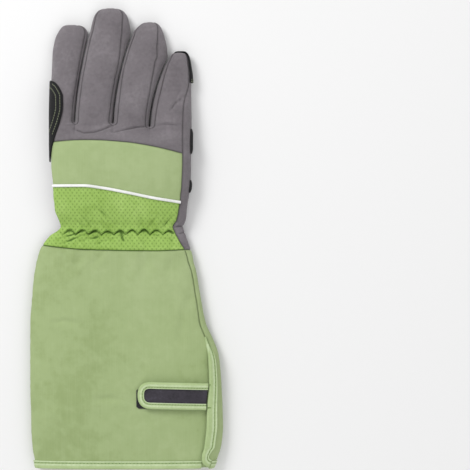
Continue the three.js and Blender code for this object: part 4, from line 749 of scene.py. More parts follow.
CUFF_CREASES = [
    (1.0, 4.0, ((-35.0, -11.0), (-40.0, -19.0), (-44.0, -26.0))),
    (0.8, 3.0, ((-20.0, -11.0), (-23.0, -17.0), (-27.0, -22.0))),
    (0.9, 4.6, ((17.0, -11.0), (22.0, -18.0), (30.0, -24.0), (38.0, -30.0))),
    (0.8, 2.6, ((40.0, -12.0), (47.0, -17.0), (54.0, -21.0))),
    (0.7, 2.2, ((-58.0, -69.0), (-50.0, -67.5), (-40.0, -69.5))),
    (0.7, 2.4, ((-24.0, -133.0), (-14.0, -131.5), (-3.0, -134.0))),
    (0.5, 3.4, ((-70.0, -40.0), (-60.0, -52.0), (-52.0, -66.0))),
    (0.5, 4.0, ((58.0, -40.0), (48.0, -60.0), (44.0, -84.0))),
    (0.45, 3.6, ((-60.0, -150.0), (-48.0, -160.0), (-40.0, -176.0))),
    (0.4, 4.4, ((20.0, -100.0), (8.0, -116.0), (2.0, -140.0))),
]


LIP_WIDTH, END_FADE, CREASE_STOPS = 2.6, 1.6, 80
print("creases:", len(BACK_CREASES + PALM_CREASES + WRIST_CREASES + CUFF_CREASES))


# %% Creases, puckers and noise as heights
def creases_at(pts, creases, lip=0.35):
    """Depth of creases: e to the minus square of distance over half width, less a wider, shallower lip."""
    total = np.zeros(len(pts))
    for depth, width, line in creases:
        line = np.array(line)
        stops = np.linspace(0, len(line) - 1, CREASE_STOPS)
        dense = np.stack([np.interp(stops, np.arange(len(line)), line[:, n]) for n in (0, 1)], axis=1)
        near = nearest(pts[:, :2], dense)
        ends = nearest(pts[:, :2], dense[[0, -1]])
        soft = lip * np.exp(-((near / (LIP_WIDTH * width)) ** 2)) - np.exp(-((near / width) ** 2))
        total += depth * smooth(ends, -1, END_FADE + width) * soft
    return total


def pucker(pts, rim, pitch, depth, reach, seed):
    """Small puffs beside a seam that fade away from it."""
    puffs = value_noise(pts[:, 0] + 0.7 * pts[:, 2], pts[:, 1], pitch, seed)
    return depth * puffs * np.exp(-rim / reach)


def layered(pts, *layers):
    """Sum of noises over x and y. Each layer is a depth, a cell size and a seed."""
    return sum(depth * value_noise(pts[:, 0], pts[:, 1], cell, seed) for depth, cell, seed in layers)


# %% Relief of the back and the band
def hand_relief(pts, rim):
    soft = layered(pts, (0.22, 8.0, 3), (0.08, 3.4, 4))
    calm = np.minimum(1, rim / 3)
    return soft * calm + pucker(pts, rim, 2.6, 0.16, 2.4, 5) + creases_at(pts, BACK_CREASES)


def band_relief(pts, rim):
    soft = layered(pts, (0.25, 14.0, 6), (0.06, 5.0, 7))
    return soft * np.minimum(1, rim / 4) + pucker(pts, rim, 3.0, 0.22, 3.0, 8)


# %% The gathered wrist
ARCH_DROP, ARCH_RISE, OVERHANG, ELASTIC_DEPTH = 1.9, 3.6, 1.0, 2.1


def gather_line(x):
    """The elastic's line: a row of small arches that meet in points, the absolute sine of x over the pitch."""
    arch = np.abs(np.sin(np.pi * x / GATHER_PITCH + 0.25 * np.sin(x / 17)))
    return GATHER_Y - ARCH_DROP + ARCH_RISE * arch * (0.85 + 0.15 * np.sin(x / 9))


def gather_at(x, y):
    """Elastic across the wrist: cloth puffs over its line from above, and pleats open out above and below it."""
    phase = 2 * np.pi * x / GATHER_PITCH
    off = (y - GATHER_Y) / GATHER_REACH
    flare = np.exp(-((off / 2.6) ** 2))
    over = y - gather_line(x)
    puff = OVERHANG * smooth(over, -0.6, 1.6) * np.exp(-np.maximum(over, 0) / 4.5)
    fold = -ELASTIC_DEPTH * np.exp(-((over + 0.5) / 0.9) ** 2)
    pleats = 0.3 * GATHER_DEPTH * flare * np.cos(phase + 0.8 * off + 0.5 * np.sin(x / 11))
    spread = 0.35 * GATHER_DEPTH * np.exp(-((off / 3.4) ** 2)) * np.sin(phase / 2 + 0.4 * off)
    fine = 0.5 * flare * value_noise(x, y / 4, 3.2, 9)
    return puff + fold + pleats + spread + fine


CREASE_GAIN = 1.25


def wrist_relief(pts, rim):
    x, y = pts[:, 0], pts[:, 1]
    b = Body(y)
    fade = dome((x - b.centre) / b.half, BODY_ROUND)
    folds = gather_at(x, y) + CREASE_GAIN * creases_at(pts, WRIST_CREASES, 0.3)
    return folds * fade * np.minimum(1, rim / 2.5) + pucker(pts, rim, 3.2, 0.25, 3.0, 10)


# %% Relief of the cuff and the palm
def cuff_relief(pts, rim):
    x, y = pts[:, 0], pts[:, 1]
    broad = 0.55 * value_noise(x, y / 1.6, 34.0, 11) + 0.16 * value_noise(x, y, 12.0, 12)
    ripple = 0.35 * np.sin(x / 4.4 + 1.2 * value_noise(x, y, 20.0, 13)) * np.exp(-((CUFF_SEAM_Y - y) / 22) ** 2)
    dents = CREASE_GAIN * creases_at(pts, CUFF_CREASES)
    return (broad + ripple) * np.minimum(1, rim / 6) + pucker(pts, rim, 3.4, 0.3, 4.0, 14) + dents


def palm_relief(pts, rim):
    soft = layered(pts, (0.3, 11.0, 15), (0.1, 4.0, 16))
    on_top = smooth(pts[:, 2], 3, 6) * smooth(pts[:, 0], 36, 38)
    return np.maximum(-0.4, soft - 0.3) * np.minimum(1, rim / 3) + on_top * creases_at(pts, PALM_CREASES)


# %% [markdown]
# ## Sewing the hand
#
# A real glove is cut from patterns and sewn inside out, so each seam shows as a fine ditch between two panels.
# The panels are chosen here by the labels of the skin's faces, and they share its normals, so their edges meet.
# Slicing a finished glove with cutters would leave ragged edges, so the labels were laid with the grids. The palm
# has a hole for the thumb, and the black patches are thin pillows a little above the cloth.

# %% Choosing faces
THUMB_HOLE, THUMB_HOLE_LENGTH, THUMB_HOLE_WIDTH = 18.0, 18.0, 16.0
label_is = lambda *names: np.isin(hand.labels.astype(str), names)
starts = lambda text: np.char.startswith(hand.labels.astype(str), text)
centres = hand.points[hand.faces].mean(axis=1)
out_x, out_y = centres[:, 0] - THUMB_HEEL[0], centres[:, 1] - THUMB_HEEL[1]
thumb_along = out_x * np.sin(THUMB_TURN) + out_y * np.cos(THUMB_TURN)
thumb_across = out_x * np.cos(THUMB_TURN) - out_y * np.sin(THUMB_TURN)
in_hole = (np.abs(thumb_along - THUMB_HOLE) < THUMB_HOLE_LENGTH / 2) & (np.abs(thumb_across) < THUMB_HOLE_WIDTH / 2)
hole = starts("palm body") & in_hole
print("faces left out for the thumb:", int(hole.sum()))

# %% Panels of the hand
# how strongly folds on the hand and the wrist take painted shade
HAND_FOLD_SHADE, WRIST_FOLD_SHADE = 3.6, 2.2
hand_back = panel("hand_back_cloth", hand, label_is("hand_back"), FABRIC_WALL, relief=hand_relief, fold_shade_gain=HAND_FOLD_SHADE)
palm = panel("palm_cloth", hand, starts("palm") & ~hole, FABRIC_WALL, relief=palm_relief, fold_shade_gain=HAND_FOLD_SHADE)
sides = [panel(name + "_cloth", hand, label_is(name), FABRIC_WALL, seam=(0.5, 1.6),
               relief=lambda pts, rim: pucker(pts, rim, 2.4, 0.15, 2.0, 17)) for name in FOURCHETTES]
band = panel("knuckle_band_cloth", hand, label_is("knuckle_band"), FABRIC_WALL, relief=band_relief)
wrist = panel("wrist_mesh", hand, label_is("wrist_panel"), FABRIC_WALL, relief=wrist_relief, fold_shade_gain=WRIST_FOLD_SHADE)
print("panels of the hand:", 4 + len(sides))

# %% Black patches of the hand
TIP_PATCH_END, PAD_FROM, ROW_SLACK = 0.75, 0.62, 0.005
on_last = label_is(f"palm finger {LAST}", "palm side finger")
row_stop = TIP_ROWS[np.minimum(hand.rows, len(TIP_ROWS) - 1)]
tip_faces = on_last & (hand.rows < len(TIP_ROWS) - 1) & (row_stop < TIP_PATCH_END)
low_on_side = label_is("palm side body") & (hand.columns >= round(PAD_FROM * len(SIDE_OUT)))
on_edge = label_is(f"palm body {LAST}") | low_on_side
share_of_face = SHARE_OF[np.minimum(hand.rows, len(SHARE_OF) - 1)]
upper = on_edge & (hand.rows >= QUARTER) & (hand.rows < TO_KNUCKLES)
in_heel = (share_of_face >= PAD_ROWS[0] - ROW_SLACK) & (share_of_face < PAD_ROWS[1] - ROW_SLACK)
heel = on_edge & (hand.rows >= TO_KNUCKLES) & (hand.rows < TO_PIPING) & in_heel
over = dict(wall=PATCH_WALL, outer=PATCH_GAP + PATCH_WALL, gap=0.0, seam=(0.35, 1.2), tucked=False)
pillow = {**over, "seam": (1.15, 5.0)}
tip_patch = panel("little_tip_leather", hand, tip_faces, **over)
pad_upper = panel("palm_pad_upper_leather", hand, upper, **pillow)
pad_heel = panel("palm_pad_heel_leather", hand, heel, **pillow)
for obj, node in [(hand_back, "hand_back"), (palm, "palm"), (band, "knuckle_band"), (wrist, "wrist_panel"),
                  (tip_patch, "little_tip_patch"), (pad_upper, "palm_pad_upper"), (pad_heel, "palm_pad_heel"),
                  *zip(sides, FOURCHETTES)]:
    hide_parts(node)
    print(f"{obj.name}: {len(obj.data.polygons)} faces, flat area {obj['flat_area'] * 1e4:.0f} cm2")


# %% [markdown]
# ## Saddle patch and thumb
#
# The black patch over the crotch of the thumb follows the left edge of the hand. The thumb is a flat bag along
# its own axis, tucked under the palm, with its mouth open into the hand. A patch could be shrink-wrapped onto the
# palm; drawn from the same formula as the hand's side it keeps the same small gap everywhere.

# %% Saddle patch
def thumb_side(x, y, under):
    """Height of the index strip near the left edge of the glove."""
    crotch = crotch_y(0, 0)
    s, b = Finger(0, y), Body(y)
    upper_z = np.where(x <= s.left, s.level, np.where(under, s.height(x, True), s.height(x)))
    ended = Finger(0, np.float64(crotch))
    part = finger_part(0, 0, y)
    shifted = np.clip(x - b.left + ended.left, ended.left, ended.right)
    body = np.where(x <= b.left, b.level(x), np.where(under, body_bottom(x, y), body_top(x, y)))
    finger = np.where(under, ended.height(shifted, True), ended.height(shifted))
    return np.where(y >= crotch, upper_z, lerp(body, finger, part))


def saddle_points(share, c):
    """share: along the patch from its lower end. c: 1 at its edge on the back, 0 at the fold, below 0 underneath."""
    y = SADDLE_START_Y + share * SADDLE_LENGTH
    left = np.where(y >= crotch_y(0, 0), Finger(0, y).left, Body(y).left)
    x = left + SADDLE_WIDTH * curve(SADDLE[0], SADDLE[1], share) * c * c
    return points(x, y, thumb_side(x, y, c < 0))


saddle_skin = Skin()
saddle_rows = (1 - np.cos(np.linspace(0, np.pi, 90)))[:, None] / 2
saddle_columns = np.concatenate([np.linspace(1, 0, 26), np.linspace(0, -0.5, 10)[1:]])[None, :]
saddle_grid = saddle_points(saddle_rows, saddle_columns)
saddle_skin.grid(saddle_grid, "saddle", flip=True, uv=arc_uv(saddle_grid))
saddle_skin.weld()
saddle = panel("thumb_saddle_leather", saddle_skin, slice(None), **over)
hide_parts("thumb_saddle_patch")
print("saddle patch:", len(saddle.data.polygons), "faces")


# %% Thumb
def thumb_points(at, angle):
    """Point of the thumb's bag: at along its axis, and an angle round a flattened oval."""
    wide = THUMB_WIDTH / 2 * curve(THUMB[0], THUMB[1], at)
    across = wide * np.sign(np.cos(angle)) * np.abs(np.cos(angle)) ** 0.8
    rise = np.sign(np.sin(angle)) * np.abs(np.sin(angle)) ** 0.7
    z = THUMB_DEPTH / 2 * (1 + curve(THUMB[0], THUMB[2], at) * rise)
    along = at * THUMB_LENGTH
    x = THUMB_HEEL[0] + along * np.sin(THUMB_TURN) + across * np.cos(THUMB_TURN)
    return points(x, THUMB_HEEL[1] + along * np.cos(THUMB_TURN) - across * np.sin(THUMB_TURN), z)


thumb_skin = Skin()
at = (1 - np.cos(np.linspace(0, np.pi, 60)))[:, None] / 2
angle = np.linspace(0, 2 * np.pi, 73)[None, :]
thumb_grid = thumb_points(at, angle)
mouth = (at[:-1] > 0.16) & (at[:-1] < 0.46) & (angle[:, :-1] > 1.0) & (angle[:, :-1] < 2.1)
thumb_skin.grid(thumb_grid, np.where(mouth, "mouth", "thumb"), flip=True, uv=arc_uv(thumb_grid))
thumb_skin.weld()
thumb = panel("thumb_cloth", thumb_skin, thumb_skin.labels == "thumb", FABRIC_WALL, gap=0.0,
              relief=lambda pts, rim: np.minimum(0, 0.35 * value_noise(pts[:, 0], pts[:, 1], 9.0, 18) - 0.2))
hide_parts("thumb")
print("thumb:", len(thumb.data.polygons), "faces")

# %% [markdown]
# ## The cuff
#
# The back of the cuff runs from the left edge over the top to the slit. The front runs under it, round the right
# side and back over the top, where its bound edge lies on the back's cloth: above the slit's end the two are sewn
# together, and along the slit the edge is lifted by the layers below it. A cut tube would leave the slit's edges
# butting, so the wrap is drawn as its own surface, with the lift as a height that
# grows below the slit's end.

# %% The back of the cuff
SLIT_SHARE = (SLIT_TOP_Y - WALL_HEM_Y) / (CUFF_SEAM_Y - WALL_HEM_Y)
TAPE_SHARE = BINDING_WIDTH / (CUFF_SEAM_Y - WALL_HEM_Y)
WRAP_TURN = np.radians(75)


def cuff_seam_y(x):
    return seam_y(CUFF_SEAM, WRIST_LENGTH, CUFF_SEAM_Y, x)


def slit_stand_off(y):
    """How far the back's edge keeps off the seam line, for the tape along the slit."""
    return (BINDING_PROUD + 2 * SEAM_GAP) * (1 - smooth(y, SLIT_TOP_Y, SLIT_TOP_Y + UNDERLAP))


def cuff_back_points(row, share):
    """row: 0 at the hem, 1 at the wrist. share: 0 at the left edge, 1 at the seam."""
    seam = Body(np.float64(CUFF_SEAM_Y))
    y = lerp(WALL_HEM_Y, cuff_seam_y(lerp(seam.left, seam.seam, share)), row)
    b = Body(y)
    x = lerp(b.left, b.seam - slit_stand_off(y), share)
    return points(x, y, body_top(x, y))


def cuff_lap_points(row, t):
    """The strip of the back that runs on below the bound edge: t from 0 at the seam to 1 at its own edge."""
    seam = Body(np.float64(CUFF_SEAM_Y))
    y = lerp(WALL_HEM_Y, cuff_seam_y(seam.seam), row)
    b = Body(y)
    off = slit_stand_off(y)
    under = np.minimum(UNDERLAP, 0.6 * (b.right - b.seam))
    lapped = 1 - smooth(y, SLIT_TOP_Y - 5 * UNDERLAP, SLIT_TOP_Y - 3 * UNDERLAP)
    x = b.seam - off + t * (off + 0.25 * under * slit_ramp(y) + 0.75 * under * lapped)
    return points(x, y + 0 * t, body_top(x, y + 0 * t) - 0.3 * t * slit_ramp(y))


# %% The front of the cuff, where it wraps over the back
def wrap_start(y):
    """x of the bound edge: the seam's line, moved left by the lift that the wrap has there."""
    return Body(y).seam - SLIT_LIFT * slit_ramp(y) * np.cos(WRAP_TURN)


def cuff_wrap(x, y):
    """The front's cloth where it wraps over the back, lifted along the slit."""
    b = Body(y)
    lift = SLIT_LIFT * slit_ramp(y)
    share = np.clip((b.right - x) / (b.right - wrap_start(y)), 0, 1)
    turn = WRAP_TURN * share**0.6
    z = np.where(share == 0, b.level(x), body_top(x, y))
    return points(x + lift * np.cos(turn), y, z + lift * np.sin(turn))


def front_hem_y(from_edge):
    """The hem line, rounded up at the slit's corner."""
    inside = np.clip(from_edge, 0, SLIT_CORNER)
    return WALL_HEM_Y + SLIT_CORNER - np.sqrt(SLIT_CORNER**2 - (SLIT_CORNER - inside) ** 2)


# %% The front of the cuff, underneath and at its edge
def back_share_of(share):
    """The share across the back that has the same height of seam as a share across the underside."""
    return np.interp(np.minimum(share, 1), UNDER_SHARES, BACK_SHARES)


def cuff_under_points(row, share):
    """row: 0 at the hem, 1 at the wrist. share: 0 at the left edge, 1 at the right edge."""
    seam = Body(np.float64(CUFF_SEAM_Y))
    across = share * (seam.right - seam.left) / (seam.seam - seam.left)
    y = lerp(WALL_HEM_Y, cuff_seam_y(lerp(seam.left, seam.seam, back_share_of(across))), row)
    b = Body(y)
    x = lerp(b.left, b.right, share)
    side = (x - b.centre) / b.half
    z = np.where(np.abs(side) >= 1, b.level(x), body_bottom(x, y))
    return points(x + SLIT_LIFT * slit_ramp(y) * smooth(side, 0.7, 1), y, z)


def cuff_level(row):
    return lerp(WALL_HEM_Y, cuff_seam_y(Body(np.float64(CUFF_SEAM_Y)).seam), row)


def wrap_width(y):
    return np.minimum(BINDING_WIDTH, 0.6 * (Body(y).right - wrap_start(y)))


def cuff_sweep_points(row, share):
    """The wrapped part from the right edge (share 0) to the inside of the bound edge (share 1)."""
    y = cuff_level(row) + 0 * share
    return cuff_wrap(lerp(Body(y).right, wrap_start(y) + wrap_width(y), share), y)


def cuff_edge_points(row, share):
    """The part below the tape: share 1 at its inside, 0 at the bound edge, with the corner at the hem rounded."""
    level = cuff_level(row) + 0 * share
    width = wrap_width(level)
    rounded = 1 - smooth(row, 0, 3 * TAPE_SHARE)
    y = level + (front_hem_y(share * width) - WALL_HEM_Y) * rounded
    return cuff_wrap(wrap_start(level) + share * width, y)


# %% Grids of the cuff
rows = np.unique(np.concatenate([np.linspace(0, TAPE_SHARE, 5), np.linspace(TAPE_SHARE, 1, 150), [SLIT_SHARE]]))
rows = rows[:, None]
back_columns = (0.5 * np.linspace(0, 1, 111) + 0.5 * (1 - np.cos(np.linspace(0, np.pi, 111))) / 2)[None, :]
back_grid = cuff_back_points(rows, back_columns)
lap_grid = cuff_lap_points(rows, np.linspace(0, 1, 9)[None, :])
under_share = (1 - np.cos(np.linspace(0, np.pi, 111)))[None, :] / 2
under_grid = cuff_under_points(rows, under_share)
sweep_grid = cuff_sweep_points(rows, np.linspace(0, 1, 22)[None, :] ** 1.3)
edge_grid = cuff_edge_points(rows, np.linspace(1, 0, 9)[None, :])


def middle_uv(pts):
    """Cloth coordinates measured along each row from its middle column."""
    uv = arc_uv(pts)
    mid = pts.shape[1] // 2
    uv[..., 0] += pts[:, mid : mid + 1, 0] - uv[:, mid : mid + 1, 0]
    return uv


cuff = Skin()
back_all = np.concatenate([back_grid, lap_grid[:, 1:]], axis=1)
cuff.grid(back_all, "cuff_back", uv=middle_uv(back_all))
front_all = np.concatenate([under_grid, sweep_grid[:, 1:], edge_grid[:, 1:]], axis=1)
cuff.grid(front_all, "cuff_front", flip=True, uv=middle_uv(front_all))
cuff.weld()


# %% Panels of the cuff
def front_relief(pts, rim):
    """The cuff's relief, held low, and fainter on the underside."""
    on_top = pts[:, 2] > Body(pts[:, 1]).top * SIDE_LEVEL
    return np.minimum(cuff_relief(pts, rim), 0.25) * np.where(on_top, 1.0, 0.35)


cuff_cloth = dict(wall=CUFF_WALL, gap=0.15, fold_shade_gain=0.7)
cuff_back = panel("cuff_back_cloth", cuff, cuff.labels == "cuff_back", relief=cuff_relief, **cuff_cloth)
cuff_front = panel("cuff_front_cloth", cuff, cuff.labels == "cuff_front", relief=front_relief, **cuff_cloth)
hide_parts("cuff_back")
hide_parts("cuff_front")
print(f"cuff: {len(cuff_back.data.polygons)} and {len(cuff_front.data.polygons)} faces")

# %% [markdown]
# ## Tapes, piping and strap
#
# On the real glove raw edges are closed by a woven tape folded over them, and the strap is webbing on a hook
# patch. A binding is one profile, a flat loop folded round an edge, carried along that edge. At every station the
# profile stands square to the edge: its legs lie above and below the cloth, and its fold is half an ellipse
# outside the edge. A curve's own bevel would twist at the corners, so the rings are placed one by one.

# %% Lofting rings into a mesh
def unit(v):
    """Vectors at length one."""
    return v / np.maximum(np.linalg.norm(v, axis=-1, keepdims=True), 1e-9)


FAR_FROM_RIM = 9


def loft(name, rings, rim=None):
    """Quads between closed rings of equal size, closed by a fan of triangles at both ends."""
    count, size = rings.shape[:2]
    pts = rings.reshape(-1, 3)
    i, j = np.meshgrid(np.arange(count - 1), np.arange(size), indexing="ij")
    nxt = (j + 1) % size
    quad = np.stack([i * size + j, i * size + nxt, (i + 1) * size + nxt, (i + 1) * size + j], -1).reshape(-1, 4)
    path = np.concatenate([[0], np.cumsum(np.linalg.norm(np.diff(rings.mean(axis=1), axis=0), axis=1))])
    middle = rings[count // 2]
    ring = np.concatenate([[0], np.cumsum(np.linalg.norm(np.diff(middle, axis=0, append=middle[:1]), axis=1))])
    uv = np.stack([np.stack([ring[j], path[i]], -1), np.stack([ring[j + 1], path[i]], -1),
                   np.stack([ring[j + 1], path[i + 1]], -1), np.stack([ring[j], path[i + 1]], -1)], axis=2)
    uv = uv.reshape(-1, 4, 2)
    triangles = np.concatenate([quad[:, [0, 1, 2]], quad[:, [0, 2, 3]]])
    uv = np.concatenate([uv[:, [0, 1, 2]], uv[:, [0, 2, 3]]])
    centre = np.stack([rings[0].mean(axis=0), rings[-1].mean(axis=0)])
    ids = np.arange(size)
    last = (count - 1) * size
    caps = np.concatenate([
        np.stack([ids, np.full(size, len(pts)), (ids + 1) % size], -1),
        np.stack([last + ids, last + (ids + 1) % size, np.full(size, len(pts) + 1)], -1),
    ])
    cap_uv = np.zeros((len(caps), 3, 2))
    if rim is not None:
        rim = np.concatenate([np.broadcast_to(rim, (count, size)).reshape(-1), [FAR_FROM_RIM, FAR_FROM_RIM]])
    return make_mesh(name, np.concatenate([pts, centre]), np.concatenate([triangles, caps]),
                     np.concatenate([uv, cap_uv]), rim)


# %% A folded tape
# the stitched groove: its place and half width as shares of the tape's width, its depth and the dip at the tape's free
# edge as shares of its thickness, and the factor on the distance from the groove that sets the painted shade in it and
# the painted highlight beside it
GROOVE, GROOVE_HALF, GROOVE_DEPTH, EDGE_DIP, GROOVE_SHADE = 0.7, 0.05, 0.6, 0.4, 1.7


def tape(name, edge, far, wall, seed):
    """A tape folded round the edge of a wall. edge and far: points on the cloth's face at the fold and at the
    tape's width. The "rim" attribute is the distance from the stitched groove, from which the material paints shade
    into the groove and a highlight beside it."""
    inward = unit(far - edge)
    tangent = unit(np.gradient(edge, axis=0))
    up = unit(np.cross(inward, tangent))
    far_up = unit(np.cross(inward, unit(np.gradient(far, axis=0))))
    run = np.cumsum(np.linalg.norm(np.gradient(edge, axis=0), axis=1))
    puff = 0.12 * value_noise(run, np.zeros(len(edge)), 2.6, seed)
    turn = np.radians(np.linspace(90, -90, 9))
    legs = np.array([1, 0.97, 0.92, 0.84, 0.77, GROOVE, 0.63, 0.57, 0.5, 0.38, 0.24, 0.1])
    groove = GROOVE_DEPTH * TAPE_THICK * np.exp(-(((legs - GROOVE) / GROOVE_HALF) ** 2))
    groove = groove + EDGE_DIP * TAPE_THICK * (legs == 1)
    outer, inner = TAPE_STAND_OFF + TAPE_THICK, TAPE_STAND_OFF
    profile = [(a, 0.0, outer - dip) for a, dip in zip(legs, groove)]
    profile += [(0.0, -outer * np.cos(t), -wall / 2 + (wall / 2 + outer) * np.sin(t)) for t in turn]
    profile += [(a, 0.0, -wall - outer + dip) for a, dip in zip(legs[::-1], groove[::-1])]
    profile += [(a, 0.0, -wall - inner) for a in legs]
    profile += [(0.0, -inner * np.cos(t), -wall / 2 + (wall / 2 + inner) * np.sin(t)) for t in turn[::-1]]
    profile += [(a, 0.0, inner) for a in legs[::-1]]
    a, push, rise = (np.array(column)[None, :, None] for column in zip(*profile))
    normal = unit(lerp(up[:, None], far_up[:, None], a))
    outside = (np.abs(rise + wall / 2) > wall / 2 + inner + 0.01) & (a > 0) & (a < GROOVE - GROOVE_HALF)
    rise = rise + np.where(outside, np.sign(rise) * puff[:, None, None], 0)
    rings = lerp(edge[:, None], far[:, None], a) + inward[:, None] * push + normal * rise
    width = np.linalg.norm(far - edge, axis=1)[:, None]
    obj = loft(name, rings, np.abs(a[..., 0] - GROOVE) * width * GROOVE_SHADE)
    length = np.linalg.norm(np.diff(edge, axis=0), axis=1).sum()
    obj["flat_size"] = (float(2 * width.mean() + wall + 2 * inner), float(length))
    obj["flat_area"] = obj["flat_size"][0] * obj["flat_size"][1] * 1e-6
    return obj


# %% Hem tape
tape_row, zero_row = np.array([[TAPE_SHARE]]), np.array([[0.0]])
dense = np.linspace(1, 0, 260)[None, :]
dense = 0.5 * dense + 0.5 * (1 - np.cos(np.pi * dense)) / 2
under_dense = (1 - np.cos(np.linspace(0, np.pi, 260)))[None, 1:] / 2
sweep_dense = np.linspace(0, 0.93, 40)[None, 1:]


def hem_line(row):
    """The hem's edge at one row: over the back, back underneath, and up over the wrapped part."""
    parts = [cuff_back_points(row, dense), cuff_under_points(row, under_dense), cuff_sweep_points(row, sweep_dense)]
    return np.concatenate([part[0] for part in parts])


hem_edge, hem_far = hem_line(zero_row), hem_line(tape_row)
hem_tape = tape("hem_tape", hem_edge, hem_far, CUFF_WALL, 21)
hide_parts("hem_binding")
print("hem tape, width and length in mm:", [round(v, 1) for v in hem_tape["flat_size"]])

# %% Slit tape
NARROW_END, NARROW_LENGTH = 0.18, 21
slit_rows = np.linspace(3 * TAPE_SHARE, SLIT_SHARE, 120)[:, None]
corner_share = np.linspace(0.97, 0, 14)[None, :]
corner_edge = cuff_edge_points(zero_row, corner_share)[0]
low_rows = np.linspace(0, 3 * TAPE_SHARE, 12)[1:-1, None]
low_edge = cuff_edge_points(low_rows, np.array([[0.0]]))[:, 0]
slit_edge = cuff_edge_points(slit_rows, np.array([[0.0]]))[:, 0]
slit_far = cuff_edge_points(slit_rows, np.array([[1.0]]))[:, 0]
pivot = cuff_edge_points(np.array([[2.2 * TAPE_SHARE]]), np.array([[1.0]]))[0, 0]
near_edge = np.concatenate([corner_edge, low_edge])
reach = np.linalg.norm(pivot - near_edge, axis=1, keepdims=True)
near_far = near_edge + (pivot - near_edge) * np.minimum(0.9, BINDING_WIDTH / reach)
slit_narrow = lerp(NARROW_END, 1, smooth(SLIT_TOP_Y - slit_edge[:, 1:2], 0, NARROW_LENGTH))
slit_far = lerp(slit_edge, slit_far, slit_narrow)
slit_line, slit_inner = np.concatenate([near_edge, slit_edge]), np.concatenate([near_far, slit_far])
slit_tape = tape("slit_tape", slit_line, slit_inner, CUFF_WALL, 22)
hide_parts("slit_binding")
print("slit tape, width and length in mm:", [round(v, 1) for v in slit_tape["flat_size"]])

# %% Strap
STRAP_Y = HEM_Y + STRAP_FROM_HEM
HOOK_TOP = SEAM_GAP + HOOK_WALL
STRAP_TOP = HOOK_TOP + TAPE_GAP + BINDING_PROUD + STRAP_WALL
STRAP_HALF = STRAP_WIDTH / 2 - BINDING_PROUD


def strap_root_x(y):
    """x where the strap comes out from under the slit's tape."""
    return Body(y).seam - BINDING_PROUD - 2 * TAPE_GAP


STRAP_END_X = float(strap_root_x(np.float64(STRAP_Y))) - STRAP_LENGTH + BINDING_PROUD


def strap_points(across, along, rise=STRAP_TOP):
    """across: -1 to 1 over the width, along: 0 at the root and 1 at the rounded end."""
    root = strap_root_x(STRAP_Y + across * STRAP_HALF)
    bow = STRAP_HALF * (1 - (1 - np.abs(across) ** 2.4) ** (1 / 2.4))
    x = lerp(root, STRAP_END_X + bow, along)
    y = STRAP_Y + across * STRAP_HALF - STRAP_SLOPE * (x - (root + STRAP_END_X) / 2)
    return points(x, y, body_top(x, y) + rise)


strap_skin = Skin()
across = np.sin(np.linspace(-np.pi / 2, np.pi / 2, 41))[:, None]
strap_skin.grid(strap_points(across, np.linspace(0, 1, 90)[None, :]), "strap", flip=True)
strap_skin.weld()
strap = panel("strap_webbing", strap_skin, slice(None), STRAP_WALL, gap=0.0, seam=(0.2, 1.0), tucked=False,
              relief=lambda pts, rim: 0.12 * value_noise(pts[:, 0], pts[:, 1], 16.0, 23) - 0.12)
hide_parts("strap")
print("strap:", len(strap.data.polygons), "faces, its end at x", round(STRAP_END_X, 1))

# %% Strap tape
along = np.linspace(0, 1, 90)[None, :-1]
round_end = np.sin(np.linspace(-np.pi / 2, np.pi / 2, 70))[:, None]
strap_edge = np.concatenate([
    strap_points(np.array([[-1.0]]), along)[0], strap_points(round_end, np.array([[1.0]]))[:, 0],
    strap_points(np.array([[1.0]]), along[:, ::-1])[0],
])
strap_in = unit(np.cross(unit(np.gradient(strap_edge, axis=0)), [0, 0, 1.0]))
strap_far = strap_edge + strap_in * STRAP_BINDING_WIDTH
strap_far[:, 2] = body_top(strap_far[:, 0], strap_far[:, 1]) + STRAP_TOP
strap_tape = tape("strap_tape", strap_edge, strap_far, STRAP_WALL, 24)
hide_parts("strap_binding")
print("strap tape, width and length in mm:", [round(v, 1) for v in strap_tape["flat_size"]])

# %% Hook patch
hook_skin = Skin()
hook_across, hook_along = np.linspace(-0.5, 0.5, 34)[:, None], np.linspace(0, 1, 48)[None, :]
corner = 0.08 * smooth(np.abs(hook_across), 0.4, 0.5) * (1 - smooth(hook_along, 0, 0.1))
hook_x = float(strap_root_x(np.float64(STRAP_Y))) - STRAP_LENGTH - 1 + (hook_along + corner) * HOOK_LENGTH
hook_y = STRAP_Y - STRAP_WIDTH * 0.1 + hook_across * HOOK_WIDTH
hook_skin.grid(points(hook_x, hook_y, body_top(hook_x, hook_y + 0 * hook_x) + HOOK_TOP), "hook")
hook_skin.weld()
hook = panel("hook_tape", hook_skin, slice(None), HOOK_WALL, gap=0.0, seam=(0.1, 0.6), tucked=False)
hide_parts("hook_patch")
print("hook patch:", len(hook.data.polygons), "faces")

# %% Piping
seam_line = np.concatenate([strip(k, COLUMNS, False)[TO_PIPING][(1 if k else 2):] for k in range(LAST + 1)])
seam_dir = unit(np.gradient(seam_line, axis=0))
seam_up = unit(np.cross(seam_dir, np.array([0, 1.0, 0])))
seam_up *= np.sign(seam_up[:, 2:])
seam_side = unit(np.cross(seam_up, seam_dir))
round_turn = np.linspace(0, 2 * np.pi, 17)[:-1]
bead = PIPING_WIDTH / 2
up_part = seam_up[:, None] * (bead * np.sin(round_turn)[None, :, None] + PIPING_RISE)
side_part = seam_side[:, None] * (bead * np.cos(round_turn)[None, :, None])
piping = loft("piping_cord", seam_line[:, None] + up_part - side_part)
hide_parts("piping")
print("piping:", round(float(np.linalg.norm(np.diff(seam_line, axis=0), axis=1).sum()), 1), "mm long")

# %% [markdown]
# ## Stitches
#
# A stitch is a small capsule that dips at both ends. Stitches follow a line at a steady pitch: the line is cut
# into equal lengths, and each capsule lies along its own piece of it. All stitches of one thread are one mesh,
# which is lighter than an object for each. Painted stitches would cast no shadow at a seam seen this near.

